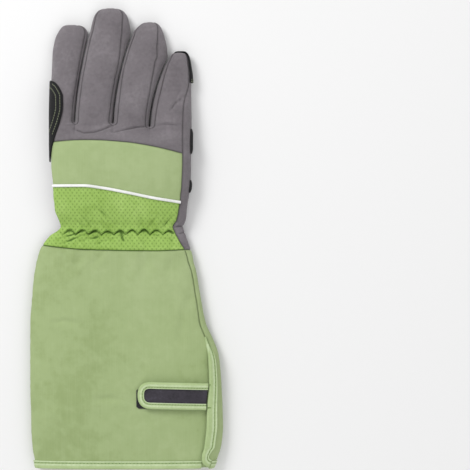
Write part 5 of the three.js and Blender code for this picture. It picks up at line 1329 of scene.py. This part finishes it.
# %% Stitches along a line
def resampled(line, normals, pitch, start=0.5):
    """Points, directions and normals at a steady pitch along a line."""
    step = np.linalg.norm(np.diff(line, axis=0), axis=1)
    s = np.concatenate([[0], np.cumsum(step)])
    count = max(1, int(s[-1] / pitch))
    at = (np.arange(count) + start) * s[-1] / count
    take = lambda data, where: np.stack([np.interp(where, s, data[:, n]) for n in range(3)], axis=1)
    middle = take(line, at)
    direction = unit(take(line, np.minimum(at + 0.3, s[-1])) - take(line, np.maximum(at - 0.3, 0)))
    return middle, direction, unit(take(normals, at))


def capsules(name, groups, radius):
    """One mesh of stitches. groups: lists of middle, direction, normal and length."""
    middle, direction, normal = (np.concatenate([g[n] for g in groups]) for n in range(3))
    length = np.concatenate([np.broadcast_to(g[3], len(g[0])) for g in groups])
    side = unit(np.cross(direction, normal))
    normal = np.cross(side, direction)
    stations = np.array([-1, -0.94, -0.72, -0.3, 0.3, 0.72, 0.94, 1])
    swell = np.array([0.35, 0.72, 0.95, 1, 1, 0.95, 0.72, 0.35])
    dip = -np.abs(stations) ** 3 * 1.2
    turn = np.linspace(0, 2 * np.pi, 8)[:-1]
    t, w, d = stations[None, :, None, None], swell[None, :, None, None], dip[None, :, None, None]
    ring = np.cos(turn)[None, None, :, None], np.sin(turn)[None, None, :, None]
    pick = lambda v: v[:, None, None, :]
    pts = pick(middle) + pick(direction) * t * (length / 2)[:, None, None, None] \
        + radius * (pick(side) * w * ring[0] + pick(normal) * (w * ring[1] + d + 0.35))
    count, rows, size = pts.shape[:3]
    i, j = np.meshgrid(np.arange(rows - 1), np.arange(size), indexing="ij")
    quad = np.stack([i * size + j, i * size + (j + 1) % size, (i + 1) * size + (j + 1) % size, (i + 1) * size + j], -1)
    quad = quad.reshape(-1, 4)
    one = np.concatenate([quad[:, [0, 1, 2]], quad[:, [0, 2, 3]]])
    fan = np.arange(1, size - 1)
    low = np.stack([np.zeros(size - 2, int), fan + 1, fan], -1)
    high = np.stack([np.zeros(size - 2, int), fan, fan + 1], -1) + (rows - 1) * size
    one = np.concatenate([one, low, high])
    faces = (one[None] + (np.arange(count) * rows * size)[:, None, None]).reshape(-1, 3)
    return make_mesh(name, pts.reshape(-1, 3), faces)


# %% Lines on a surface
def inset(line, distance):
    """A line shifted sideways in the plane of the surface it lies on, without the parts that fold over."""
    flat = line[:, :2]
    along_line = unit(np.gradient(flat, axis=0))
    moved = flat + distance * np.stack([along_line[:, 1], -along_line[:, 0]], axis=-1)
    gap = np.sqrt(((moved[:, None] - flat[None]) ** 2).sum(-1).min(1))
    return moved[gap > abs(distance) * 0.93]


def surface_normals(heights, x, y):
    """Normals of a surface given by its height, from small steps in x and y."""
    h = 0.4
    slope_x = (heights(x + h, y) - heights(x - h, y)) / (2 * h)
    slope_y = (heights(x, y + h) - heights(x, y - h)) / (2 * h)
    return unit(np.stack([-slope_x, -slope_y, np.ones_like(slope_x)], axis=-1))


def top_line(flat, heights, rise):
    """A flat line laid on a surface, with its normals."""
    x, y = flat[:, 0], flat[:, 1]
    z = heights(x, y)
    normals = surface_normals(heights, x, y)
    return points(x, y, z) + normals * rise, normals


# %% Stitches of the black patches
SADDLE_STITCH_ROWS, SADDLE_STITCH_END_Y, TIP_STITCH_ROWS = (2.3, 5.4), 84.5, (130.4, 128.8)
saddle_top = lambda x, y: thumb_side(x, y, np.zeros_like(x, dtype=bool))
saddle_rim = saddle_points(np.linspace(0.02, 0.98, 400)[:, None], np.array([[1.0]]))[:, 0]
saddle_groups = []
for distance in SADDLE_STITCH_ROWS:
    flat = inset(saddle_rim, -distance)
    flat = flat[flat[:, 1] > SADDLE_STITCH_END_Y]
    left = np.where(flat[:, 1] >= crotch_y(0, 0), Finger(0, flat[:, 1]).left, Body(flat[:, 1]).left)
    flat = flat[flat[:, 0] > left + 0.3]
    line, normals = top_line(flat, saddle_top, PATCH_GAP + PATCH_WALL - 0.05)
    saddle_groups.append((*resampled(line, normals, 2.1), 1.75))
saddle_stitches = capsules("saddle_stitches", saddle_groups, 0.3)
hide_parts("thumb_saddle_patch")

tip_groups = []
for level in TIP_STITCH_ROWS:
    y = np.array([level])
    s = Finger(LAST, y)
    side = side_points(s, y, True)[0]
    towards = side - points(s.middle, y, (s.top + s.bottom) / 2)[0]
    tip_normals = unit(towards * np.array([1, 0, 1.6]))
    tip_groups.append((*resampled(side + tip_normals * (PATCH_GAP + PATCH_WALL), tip_normals, 1.9), 1.55))
tip_stitches = capsules("little_tip_stitches", tip_groups, 0.28)
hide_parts("little_tip_patch")
print("stitch faces on the patches:", len(saddle_stitches.data.polygons), len(tip_stitches.data.polygons))


# %% Stitches of the tapes
def tape_stitches(name, node, edge, far, pitch, length, radius, lift, both=False):
    """A line of stitches in a tape's groove, on its upper face or on both."""
    inward, tangent = unit(far - edge), unit(np.gradient(edge, axis=0))
    up = unit(np.cross(inward, tangent))
    line = lerp(edge, far, GROOVE)
    groups = [(*resampled(line + up * lift, up, pitch), length)]
    if both:
        groups.append((*resampled(line - up * (lift + CUFF_WALL), -up, pitch), length))
    obj = capsules(name, groups, radius)
    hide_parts(node)
    return obj


hem_stitches = tape_stitches("hem_stitches", "hem_binding", hem_edge, hem_far, 2.9, 2.2, 0.2, 0.62, True)
slit_stitches = tape_stitches("slit_stitches", "slit_binding", slit_line, slit_inner, 2.7, 2.1, 0.2, 0.62)
strap_stitches = tape_stitches("strap_stitches", "strap_binding", strap_edge, strap_far, 2.3, 1.9, 0.26, 0.7)


# %% Bar tacks
def bar_tack(x, y, length, height, rise):
    """Closely set zigzag threads in a short bar across the tape, each at a rise above the cuff under it."""
    count = 26
    t = (np.arange(count) + 0.5) / count
    across = x + (t - 0.5) * length
    middle = points(across, y + 0 * t, cuff_wrap(across[None, :], y + 0 * across[None, :])[0, :, 2] + rise)
    lean = unit(np.stack([0.25 * (-1) ** np.arange(count), np.ones(count), np.zeros(count)], axis=-1))
    return middle, lean, np.tile([0, 0, 1.0], (count, 1)), height


TACK_LENGTH, TACK_WIDTH, TACK_RISE, TACK_FROM_EDGE = 5.8, 1.1, 1.3, 3.2
tacks = []
for across_at in (-0.93, 0.93):
    tack_y = STRAP_Y + across_at * STRAP_HALF - 0.4
    tack_x = wrap_start(np.float64(tack_y)) + TACK_FROM_EDGE
    tacks.append(bar_tack(tack_x, tack_y, TACK_LENGTH, TACK_WIDTH, TACK_RISE))
bar_tacks = capsules("bar_tacks", tacks, 0.2)
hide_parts("slit_binding")
print("bar tacks:", len(bar_tacks.data.polygons), "faces")

# %% Stitches of the elastic
at_wrist = Body(np.float64(GATHER_Y))
wrist_x = np.linspace(at_wrist.left + 9, at_wrist.right - 12, 900)
wrist_y = gather_line(wrist_x) + 1.1
wrist_z = body_top(wrist_x, wrist_y)
wrist_rise = gather_at(wrist_x, wrist_y) * dome((wrist_x - Body(wrist_y).centre) / Body(wrist_y).half, BODY_ROUND)
wrist_normals = surface_normals(body_top, wrist_x, wrist_y)
wrist_line = points(wrist_x, wrist_y, wrist_z) + wrist_normals * (wrist_rise + 0.06)[:, None]
wrist_stitches = capsules("wrist_stitches", [(*resampled(wrist_line, wrist_normals, 2.2), 1.8)], 0.2)
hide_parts("wrist_panel")
tape_threads = (hem_stitches, slit_stitches, strap_stitches)
print("stitch faces:", [len(o.data.polygons) for o in (*tape_threads, wrist_stitches)])

# %% [markdown]
# ## Materials
#
# Each effect is one node group that gives heights, masks or factors, and each cloth is one material that mixes
# them. Weave, mesh and ribs follow the cloth coordinates, in metres on the flat panel, so they run true across
# every fold. Broad shade, leather grain, hooks and the twist of threads follow the object's own coordinates; the
# painted shade in seams and folds and the painted highlight beside them follow the "rim" attribute.
# Formulas rather than images keep the weave sharp at any distance.

# %% Node helpers
def wire(tree, value, socket):
    """Link a socket, or set a plain value."""
    if isinstance(value, bpy.types.NodeSocket):
        tree.links.new(value, socket)
    else:
        socket.default_value = value


def op(tree, kind, *values):
    """A math node."""
    node = tree.nodes.new("ShaderNodeMath")
    node.operation = kind
    for socket, value in zip(node.inputs, values):
        wire(tree, value, socket)
    return node.outputs[0]


def ramp(tree, value, low, high):
    """0 below low, 1 above high, eased between them."""
    node = tree.nodes.new("ShaderNodeMapRange")
    node.interpolation_type = "SMOOTHSTEP"
    for socket, given in zip(node.inputs, (value, low, high, 0.0, 1.0)):
        wire(tree, given, socket)
    return node.outputs[0]


def mix_colour(tree, factor, first, second):
    node = tree.nodes.new("ShaderNodeMix")
    node.data_type = "RGBA"
    wire(tree, factor, node.inputs[0])
    wire(tree, first, node.inputs[6])
    wire(tree, second, node.inputs[7])
    return node.outputs[2]


def noise(tree, vector, scale, detail=3.0, roughness=0.55):
    node = tree.nodes.new("ShaderNodeTexNoise")
    wire(tree, vector, node.inputs["Vector"])
    for key, value in (("Scale", scale), ("Detail", detail), ("Roughness", roughness)):
        wire(tree, value, node.inputs[key])
    return node.outputs[0]


def split(tree, vector):
    node = tree.nodes.new("ShaderNodeSeparateXYZ")
    wire(tree, vector, node.inputs[0])
    return node.outputs[0], node.outputs[1], node.outputs[2]


def group(name, inputs, outputs, build):
    """A node group. inputs: (name, socket kind, default). build(tree, given sockets) returns the output sockets."""
    tree = bpy.data.node_groups.new(name, "ShaderNodeTree")
    for label, kind, default in inputs:
        socket = tree.interface.new_socket(name=label, in_out="INPUT", socket_type=kind)
        if default is not None:
            socket.default_value = default
    for label, kind in outputs:
        tree.interface.new_socket(name=label, in_out="OUTPUT", socket_type=kind)
    begin, end = tree.nodes.new("NodeGroupInput"), tree.nodes.new("NodeGroupOutput")
    found = build(tree, [begin.outputs[n] for n in range(len(inputs))])
    for n, socket in enumerate(found):
        tree.links.new(socket, end.inputs[n])
    return tree


def use(tree, grouped, *values):
    """Place a group with its own values."""
    node = tree.nodes.new("ShaderNodeGroup")
    node.node_tree = grouped
    for socket, value in zip(node.inputs, values):
        wire(tree, value, socket)
    return node.outputs


def use_scaled(tree, vector, scale):
    """A Mapping node that stretches a pattern."""
    node = tree.nodes.new("ShaderNodeMapping")
    wire(tree, vector, node.inputs["Vector"])
    node.inputs["Scale"].default_value = scale
    return node.outputs[0]


FLOAT, VECTOR = "NodeSocketFloat", "NodeSocketVector"


# %% Weave and net
def build_weave(tree, given):
    """Plain weave: thread is the absolute sine across it; warp lies over weft on every second crossing."""
    vector, pitch, wobble = given
    drift = noise(tree, vector, 900.0, 2.0)
    u, v, _ = split(tree, vector)
    shift = op(tree, "MULTIPLY", op(tree, "SUBTRACT", drift, 0.5), wobble)
    u = op(tree, "ADD", op(tree, "DIVIDE", u, pitch), shift)
    v = op(tree, "ADD", op(tree, "DIVIDE", v, pitch), shift)
    su = op(tree, "SINE", op(tree, "MULTIPLY", u, np.pi))
    sv = op(tree, "SINE", op(tree, "MULTIPLY", v, np.pi))
    crossing = op(tree, "MULTIPLY", su, sv)
    over_warp = op(tree, "MULTIPLY_ADD", crossing, 0.5, 0.5)
    warp = op(tree, "MULTIPLY", op(tree, "ABSOLUTE", su), over_warp)
    weft = op(tree, "MULTIPLY", op(tree, "ABSOLUTE", sv), op(tree, "SUBTRACT", 1.0, over_warp))
    return [op(tree, "MAXIMUM", warp, weft)]


weave = group("weave", [("Vector", VECTOR, None), ("Pitch", FLOAT, 0.0006), ("Wobble", FLOAT, 0.4)],
              [("Height", FLOAT)], build_weave)


def build_net(tree, given):
    """Holes on a staggered lattice: cosine across times cosine along is 1 at each hole."""
    vector, pitch_u, pitch_v = given
    u, v, _ = split(tree, vector)
    cu = op(tree, "COSINE", op(tree, "MULTIPLY", op(tree, "DIVIDE", u, pitch_u), 2 * np.pi))
    cv = op(tree, "COSINE", op(tree, "MULTIPLY", op(tree, "DIVIDE", v, pitch_v), 2 * np.pi))
    lattice = op(tree, "MULTIPLY", cu, cv)
    return [ramp(tree, lattice, 0.35, 0.85)]


net = group("net", [("Vector", VECTOR, None), ("Across", FLOAT, 0.0036), ("Along", FLOAT, 0.0046)],
            [("Hole", FLOAT)], build_net)
print("groups:", weave.name, net.name)


# %% Tone, painted seam shade and painted highlight
def build_tone_and_painted_light(tree, given):
    """Broad shade variation from two noises, painted shade in seams and folds where the rim attribute is small, and a
    painted highlight on the raised cloth beside them.
    """
    vector, rim, scale = given
    broad = noise(tree, vector, scale, 3.0)
    fine = noise(tree, vector, op(tree, "MULTIPLY", scale, 9.0), 4.0)
    shade = op(tree, "ADD", op(tree, "MULTIPLY", broad, 0.7), op(tree, "MULTIPLY", fine, 0.3))
    # painted shade in seams and folds
    seam = op(tree, "SUBTRACT", 1.0, ramp(tree, rim, 0.0, 1.1))
    # painted highlight on the raised cloth beside the seams
    seam_highlight = op(tree, "MULTIPLY", ramp(tree, rim, 0.8, 2.0), op(tree, "SUBTRACT", 1.0, ramp(tree, rim, 2.0, 5.0)))
    return [shade, seam, op(tree, "MULTIPLY", seam_highlight, fine)]


tone_and_painted_light = group("tone_and_painted_light", [("Vector", VECTOR, None), ("Rim", FLOAT, 5.0), ("Scale", FLOAT, 30.0)],
             [("Shade", FLOAT), ("Seam", FLOAT), ("Seam_Highlight", FLOAT)], build_tone_and_painted_light)


# %% Leather grain and the ribs of a tape
def build_grain(tree, given):
    """Leather grain: small cells with creased borders, on a finer noise."""
    vector, scale = given
    cells = tree.nodes.new("ShaderNodeTexVoronoi")
    cells.feature = "DISTANCE_TO_EDGE"
    wire(tree, vector, cells.inputs["Vector"])
    wire(tree, scale, cells.inputs["Scale"])
    border = ramp(tree, cells.outputs[0], 0.0, 0.16)
    fine = noise(tree, vector, 1600.0)
    return [op(tree, "ADD", op(tree, "MULTIPLY", border, 0.7), op(tree, "MULTIPLY", fine, 0.3))]


grain = group("grain", [("Vector", VECTOR, None), ("Scale", FLOAT, 1000.0)], [("Height", FLOAT)], build_grain)


def build_rib(tree, given):
    """Ribs across a tape: absolute sine of the way along it, broken up by noise."""
    vector, pitch = given
    u, v, _ = split(tree, vector)
    rib = op(tree, "ABSOLUTE", op(tree, "SINE", op(tree, "MULTIPLY", op(tree, "DIVIDE", v, pitch), np.pi)))
    cross = op(tree, "ABSOLUTE", op(tree, "SINE", op(tree, "MULTIPLY", op(tree, "DIVIDE", u, pitch), np.pi)))
    broken = op(tree, "MULTIPLY", cross, noise(tree, vector, 2500.0))
    return [op(tree, "ADD", op(tree, "MULTIPLY", rib, 0.65), op(tree, "MULTIPLY", broken, 0.5))]


rib = group("rib", [("Vector", VECTOR, None), ("Pitch", FLOAT, 0.0008)], [("Height", FLOAT)], build_rib)
print("groups:", tone_and_painted_light.name, grain.name, rib.name)


# %% A material from a cloth
def material(name, roughness, sheen, build, sheen_tint=(1, 1, 1, 1)):
    """build(tree, object coordinates, cloth coordinates, rim) returns base colour, bump height and depth in m."""
    made = bpy.data.materials.new(name)
    made.use_nodes = True
    tree = made.node_tree
    shader = tree.nodes["Principled BSDF"]
    coords = tree.nodes.new("ShaderNodeTexCoord").outputs["Object"]
    cloth = tree.nodes.new("ShaderNodeUVMap")
    cloth.uv_map = "cloth"
    rim = tree.nodes.new("ShaderNodeAttribute")
    rim.attribute_name = "rim"
    colour, height, depth = build(tree, coords, cloth.outputs[0], rim.outputs["Fac"])
    wire(tree, colour, shader.inputs["Base Color"])
    shader.inputs["Roughness"].default_value = roughness
    shader.inputs["Sheen Weight"].default_value = sheen
    shader.inputs["Sheen Roughness"].default_value = 0.45
    shader.inputs["Sheen Tint"].default_value = sheen_tint
    shader.inputs["Specular IOR Level"].default_value = 0.3
    bump = tree.nodes.new("ShaderNodeBump")
    bump.inputs["Strength"].default_value = 1.0
    bump.inputs["Distance"].default_value = depth
    tree.links.new(height, bump.inputs["Height"])
    tree.links.new(bump.outputs[0], shader.inputs["Normal"])
    return made


def linear(r, g, b):
    """Colour values from 0 to 255 as linear light: ((value + 0.055) / 1.055) to the power 2.4."""
    return tuple(((v / 255 + 0.055) / 1.055) ** 2.4 for v in (r, g, b)) + (1.0,)


# %% Colours
# dark, middle and light shade, then a fourth: painted shade for the grey weave's hollows, the sage's slubs, painted
# shade for the mesh holes, and the black leather's cells, paler than the painted shade of the creases between them
GREY = [linear(114, 108, 112), linear(125, 119, 123), linear(139, 133, 137), linear(97, 91, 96)]
SAGE = [linear(148, 166, 112), linear(160, 178, 126), linear(168, 185, 135), linear(176, 192, 144)]
LIME = [linear(136, 170, 76), linear(152, 186, 93), linear(167, 199, 109), linear(92, 126, 50)]
BLACK = [linear(9, 9, 11), linear(13, 13, 15), linear(18, 18, 20), linear(22, 22, 25)]
TAPE = [linear(173, 194, 138), linear(187, 206, 153), linear(147, 170, 114)]
WEBBING = [linear(38, 35, 42), linear(51, 47, 55), linear(66, 62, 72)]
CORD = [linear(232, 233, 231), linear(246, 246, 245)]
HOOKS = [linear(22, 22, 25), linear(58, 58, 62)]
# colours of the painted shade in seams and folds, of the painted shade in a tape's groove, and of the painted
# highlight on its ridges
GREY_SEAM_SHADE, BLACK_SEAM_SHADE, SAGE_SEAM_SHADE = (0.02, 0.02, 0.02, 1), (0.004, 0.004, 0.004, 1), linear(95, 112, 70)
LIME_SEAM_SHADE, TAPE_GROOVE_SHADE, TAPE_HIGHLIGHT = linear(66, 98, 30), linear(98, 126, 70), linear(222, 236, 202)
print("middle grey as linear light:", np.round(GREY[1][:3], 3))


# %% The cloths
def shaded(tree, coords, rim, colours, scale, seam_shade_colour, seam_shade_amount=0.35, highlight_amount=0.25):
    """Base colour of a cloth: three shades over broad noise, a painted highlight on the raised cloth beside the seams,
    and painted shade in seams and folds.
    """
    dark, mid, light = colours[:3]
    shade, seam, seam_highlight = use(tree, tone_and_painted_light, coords, rim, scale)
    low = mix_colour(tree, ramp(tree, shade, 0.36, 0.5), dark, mid)
    full = mix_colour(tree, ramp(tree, shade, 0.5, 0.66), low, light)
    # painted highlight on the raised cloth beside the seams
    highlight_colour = tuple(min(1, 1.35 * v) for v in light[:3]) + (1,)
    full = mix_colour(tree, op(tree, "MULTIPLY", seam_highlight, highlight_amount), full, highlight_colour)
    # painted shade in seams and folds
    return mix_colour(tree, op(tree, "MULTIPLY", seam, seam_shade_amount), full, seam_shade_colour)


def grey_cloth(tree, coords, cloth, rim):
    """Fine plain weave with a soft fuzz, and painted shade in the weave's hollows."""
    height, = use(tree, weave, cloth, 0.00045, 0.5)
    colour = shaded(tree, coords, rim, GREY, 42.0, GREY_SEAM_SHADE)
    # painted shade in the weave's hollows
    colour = mix_colour(tree, op(tree, "MULTIPLY", op(tree, "SUBTRACT", 1.0, height), 0.3), colour, GREY[3])
    fuzz = noise(tree, coords, 1500.0, 5.0, 0.7)
    return colour, op(tree, "ADD", height, op(tree, "MULTIPLY", fuzz, 0.9)), 0.00022


def sage_cloth(tree, coords, cloth, rim):
    """Weave with slubs that run along it, and painted shade in the weave's hollows."""
    height, = use(tree, weave, cloth, 0.0008, 0.25)
    slub = noise(tree, use_scaled(tree, cloth, (1400.0, 26.0, 1.0)), 1.0, 2.0)
    colour = shaded(tree, coords, rim, SAGE, 14.0, SAGE_SEAM_SHADE, 0.55)
    colour = mix_colour(tree, op(tree, "MULTIPLY", ramp(tree, slub, 0.45, 0.7), 0.22), colour, SAGE[3])
    # painted shade in the weave's hollows
    colour = mix_colour(tree, op(tree, "MULTIPLY", op(tree, "SUBTRACT", 1.0, height), 0.28), colour, SAGE[0])
    return colour, op(tree, "ADD", height, op(tree, "MULTIPLY", slub, 0.5)), 0.00016


def lime_cloth(tree, coords, cloth, rim):
    """Rows of mesh holes in a fine weave, with painted shade in the holes."""
    hole, = use(tree, net, cloth, 0.0036, 0.0046)
    height, = use(tree, weave, cloth, 0.0005, 0.3)
    colour = shaded(tree, coords, rim, LIME, 30.0, LIME_SEAM_SHADE, 0.8)
    # painted shade in the mesh holes
    colour = mix_colour(tree, op(tree, "MULTIPLY", hole, 0.42), colour, LIME[3])
    return colour, op(tree, "SUBTRACT", op(tree, "MULTIPLY", height, 0.35), op(tree, "MULTIPLY", hole, 1.0)), 0.0003


def black_leather(tree, coords, cloth, rim):
    """Creased cells of a synthetic leather, with painted shade in the creases between the cells."""
    height, = use(tree, grain, coords, 1300.0)
    # painted shade at the patch's seams, and a painted highlight beside them
    colour = shaded(tree, coords, rim, BLACK, 55.0, BLACK_SEAM_SHADE, 0.3, 0.5)
    # painted shade: the cells are paler than the creases between them
    return mix_colour(tree, op(tree, "MULTIPLY", height, 0.4), colour, BLACK[3]), height, 0.00012


def tape_cloth(tree, coords, cloth, rim):
    """Ribbed tape with a stitched groove: painted shade in the ribs' hollows and in the groove, and a painted
    highlight on the ridges beside it.
    """
    height, = use(tree, rib, cloth, 0.0009)
    # the second output is the painted shade in the stitched groove, the third the painted highlight beside it
    shade, groove, ridge_highlight = use(tree, tone_and_painted_light, coords, rim, 60.0)
    colour = mix_colour(tree, ramp(tree, shade, 0.35, 0.65), TAPE[0], TAPE[1])
    # painted shade in the ribs' hollows
    colour = mix_colour(tree, op(tree, "MULTIPLY", op(tree, "SUBTRACT", 1.0, height), 0.25), colour, TAPE[2])
    # painted highlight on the ridges beside the groove
    colour = mix_colour(tree, op(tree, "MULTIPLY", ridge_highlight, 0.9), colour, TAPE_HIGHLIGHT)
    # painted shade in the groove
    return mix_colour(tree, op(tree, "MULTIPLY", groove, 0.9), colour, TAPE_GROOVE_SHADE), height, 0.00022


def white_cord(tree, coords, cloth, rim):
    """Ribbed cover of the cord."""
    height, = use(tree, rib, cloth, 0.0009)
    shade, _, _ = use(tree, tone_and_painted_light, coords, 5.0, 80.0)
    return mix_colour(tree, ramp(tree, shade, 0.35, 0.65), *CORD), height, 0.00015


def webbing(tree, coords, cloth, rim):
    """Coarse, close weave."""
    height, = use(tree, weave, cloth, 0.0011, 0.15)
    # painted shade near the strap's edge
    colour = shaded(tree, coords, rim, WEBBING, 70.0, BLACK_SEAM_SHADE, 0.3)
    return colour, height, 0.0002


def hook_pile(tree, coords, cloth, rim):
    """Rows of small hooks, with a painted highlight on their tops."""
    u, v, _ = split(tree, coords)
    wave_u = op(tree, "SINE", op(tree, "MULTIPLY", u, 2 * np.pi / 0.0011))
    wave_v = op(tree, "SINE", op(tree, "MULTIPLY", v, 2 * np.pi / 0.0016))
    hooks = op(tree, "MULTIPLY", wave_u, wave_v)
    height = op(tree, "ADD", op(tree, "ABSOLUTE", hooks), noise(tree, coords, 2600.0))
    # painted highlight on the hooks' tops
    return mix_colour(tree, ramp(tree, height, 0.5, 1.3), *HOOKS), height, 0.0004


def thread(light, dark):
    """Twisted thread between two colours."""
    def build(tree, coords, cloth, rim):
        twist = noise(tree, coords, 4200.0, 2.0)
        return mix_colour(tree, ramp(tree, twist, 0.4, 0.62), dark, light), twist, 0.0001
    return build


# %% Finishes
grey = material("grey_fabric", 0.85, 0.25, grey_cloth)
sage = material("sage_fabric", 0.8, 0.12, sage_cloth, (0.9, 1, 0.8, 1))
lime = material("lime_mesh", 0.78, 0.1, lime_cloth, (0.9, 1, 0.7, 1))
black = material("black_reinforcement", 0.68, 0.0, black_leather)
green_tape = material("binding_tape", 0.75, 0.25, tape_cloth, (0.9, 1, 0.8, 1))
cord_white = material("white_piping", 0.7, 0.2, white_cord)
strap_black = material("strap_webbing", 0.5, 0.1, webbing)
hook_black = material("hook_tape", 0.8, 0.2, hook_pile)
pale_thread = material("pale_thread", 0.6, 0.1, thread(linear(146, 152, 124), linear(108, 114, 90)))
green_thread = material("green_thread", 0.65, 0.1, thread(linear(178, 200, 146), linear(142, 166, 110)))
tack_thread = material("tack_thread", 0.65, 0.1, thread(linear(132, 162, 92), linear(100, 130, 66)))
lime_thread = material("lime_thread", 0.65, 0.2, thread(linear(160, 204, 96), linear(118, 164, 58)))

# %% Dressing the pieces
DRESSED = [
    ((hand_back, palm, thumb, *sides), grey, "grey_fabric"),
    ((band, cuff_back, cuff_front), sage, "sage_fabric"),
    ((wrist,), lime, "lime_mesh"),
    ((saddle, tip_patch, pad_upper, pad_heel), black, "black_reinforcement"),
    ((hem_tape, slit_tape, strap_tape), green_tape, "binding_tape"),
    ((piping,), cord_white, "white_piping"),
    ((strap,), strap_black, "strap_webbing"),
    ((hook,), hook_black, "hook_tape"),
    ((saddle_stitches, tip_stitches), pale_thread, "black_reinforcement"),
    (tape_threads, green_thread, "binding_tape"),
    ((bar_tacks,), tack_thread, "binding_tape"),
    ((wrist_stitches,), lime_thread, "lime_mesh"),
]
for objs, look, slot in DRESSED:
    for obj in objs:
        obj.data.materials.append(look)
print("materials:", len(DRESSED), "pieces:", len(MADE), "triangles:", sum(len(o.data.polygons) for o in MADE))

# %% [markdown]
# ## Sheets
#
# Each cloth panel is printed with the size of the flat piece it is cut from and its area, from which a cloth
# simulation could start. A tape's size counts both its legs and its fold.

# %% Flat sizes
def declare(obj, width, length, held, rests_on=(), with_pieces=()):
    print(f"{obj.name}: flat {width:.0f} x {length:.0f} mm, area {obj['flat_area'] * 1e4:.1f} cm2")


declare(hand_back, 118, 158, "laid", ["palm_cloth"])
declare(palm, 140, 205, "laid", ["floor"])
for side in sides:
    declare(side, 22, 170, "stretched", ["hand_back_cloth", "palm_cloth"])
declare(thumb, 100, 64, "laid", ["floor"])
declare(band, 122, 44, "stretched", ["hand_back_cloth", "palm_cloth"])
declare(wrist, 124, 52, "gathered", ["palm_cloth"])
declare(cuff_back, 166, 184, "laid", ["cuff_front_cloth"])
declare(cuff_front, 200, 184, "laid", ["floor"])
declare(saddle, 26, 72, "folded", ["hand_back_cloth"])
declare(tip_patch, 22, 46, "folded", ["palm_cloth"])
declare(pad_upper, 20, 50, "folded", ["palm_cloth"])
declare(pad_heel, 20, 30, "folded", ["palm_cloth"])
declare(strap, 22, 64, "laid", ["cuff_back_cloth"])
declare(hook, 17, 24, "laid", ["cuff_back_cloth"])
carriers = ((hem_tape, "cuff_front_cloth"), (slit_tape, "cuff_back_cloth"), (strap_tape, "strap_webbing"))
for tape_piece, carried in carriers:
    declare(tape_piece, *tape_piece["flat_size"], "folded", [carried])

# %% [markdown]
# ## Floor, light and camera
#
# The glove lies on a plain pale floor under soft studio light: a key lamp from the upper left shapes the folds, and
# two larger, weaker ones fill the shadows. The camera looks straight down from 1.4 m, with the glove in the left
# part of the picture.

# %% Floor
FLOOR_HALF, FLOOR_Z = 3, -0.0002
scene = bpy.context.scene
floor_mesh = bpy.data.meshes.new("floor")
floor_corners = [(x * FLOOR_HALF, y * FLOOR_HALF, FLOOR_Z) for x, y in ((-1, -1), (1, -1), (1, 1), (-1, 1))]
floor_mesh.from_pydata(floor_corners, [], [(0, 1, 2, 3)])
floor = bpy.data.objects.new("floor", floor_mesh)
scene.collection.objects.link(floor)
paper = bpy.data.materials.new("pale_floor")
paper.use_nodes = True
paper.node_tree.nodes["Principled BSDF"].inputs["Base Color"].default_value = (0.86, 0.86, 0.86, 1)
paper.node_tree.nodes["Principled BSDF"].inputs["Roughness"].default_value = 0.9
floor_mesh.materials.append(paper)
print("floor:", 2 * FLOOR_HALF, "m wide")


# %% Light
def soft_light(name, place, target, size, power):
    light = bpy.data.lights.new(name, "AREA")
    light.size, light.energy = size, power
    obj = bpy.data.objects.new(name, light)
    obj.location = place
    obj.rotation_euler = (Vector(target) - Vector(place)).to_track_quat("-Z", "Y").to_euler()
    scene.collection.objects.link(obj)


soft_light("key_light", (-0.85, 1.0, 1.15), (0, 0, 0), 0.7, 17)
soft_light("fill_light", (1.1, 0.3, 1.5), (0, 0, 0), 1.4, 5)
soft_light("low_light", (0.1, -1.4, 1.1), (0, 0, 0), 1.2, 5)
world = bpy.data.worlds.new("studio")
world.use_nodes = True
world.node_tree.nodes["Background"].inputs["Color"].default_value = (1, 1, 1, 1)
world.node_tree.nodes["Background"].inputs["Strength"].default_value = 0.55
scene.world = world
scene.view_settings.view_transform = "Standard"

# %% Camera
CAMERA_HEIGHT, FRAME_WIDTH, MEAN_HEIGHT, FRAME_CENTRE = 1.4, 0.3866, 0.012, (0.08965, 0.0025)
camera_data = bpy.data.cameras.new("camera")
camera_data.sensor_width = 36
camera_data.lens = 36 * CAMERA_HEIGHT / FRAME_WIDTH
camera = bpy.data.objects.new("camera", camera_data)
camera.location = (*FRAME_CENTRE, CAMERA_HEIGHT + MEAN_HEIGHT)
scene.collection.objects.link(camera)
scene.camera = camera
print("lens:", round(camera_data.lens, 1), "mm at", round(camera.location.z, 3), "m")

# %% Update the scene
bpy.context.view_layer.update()
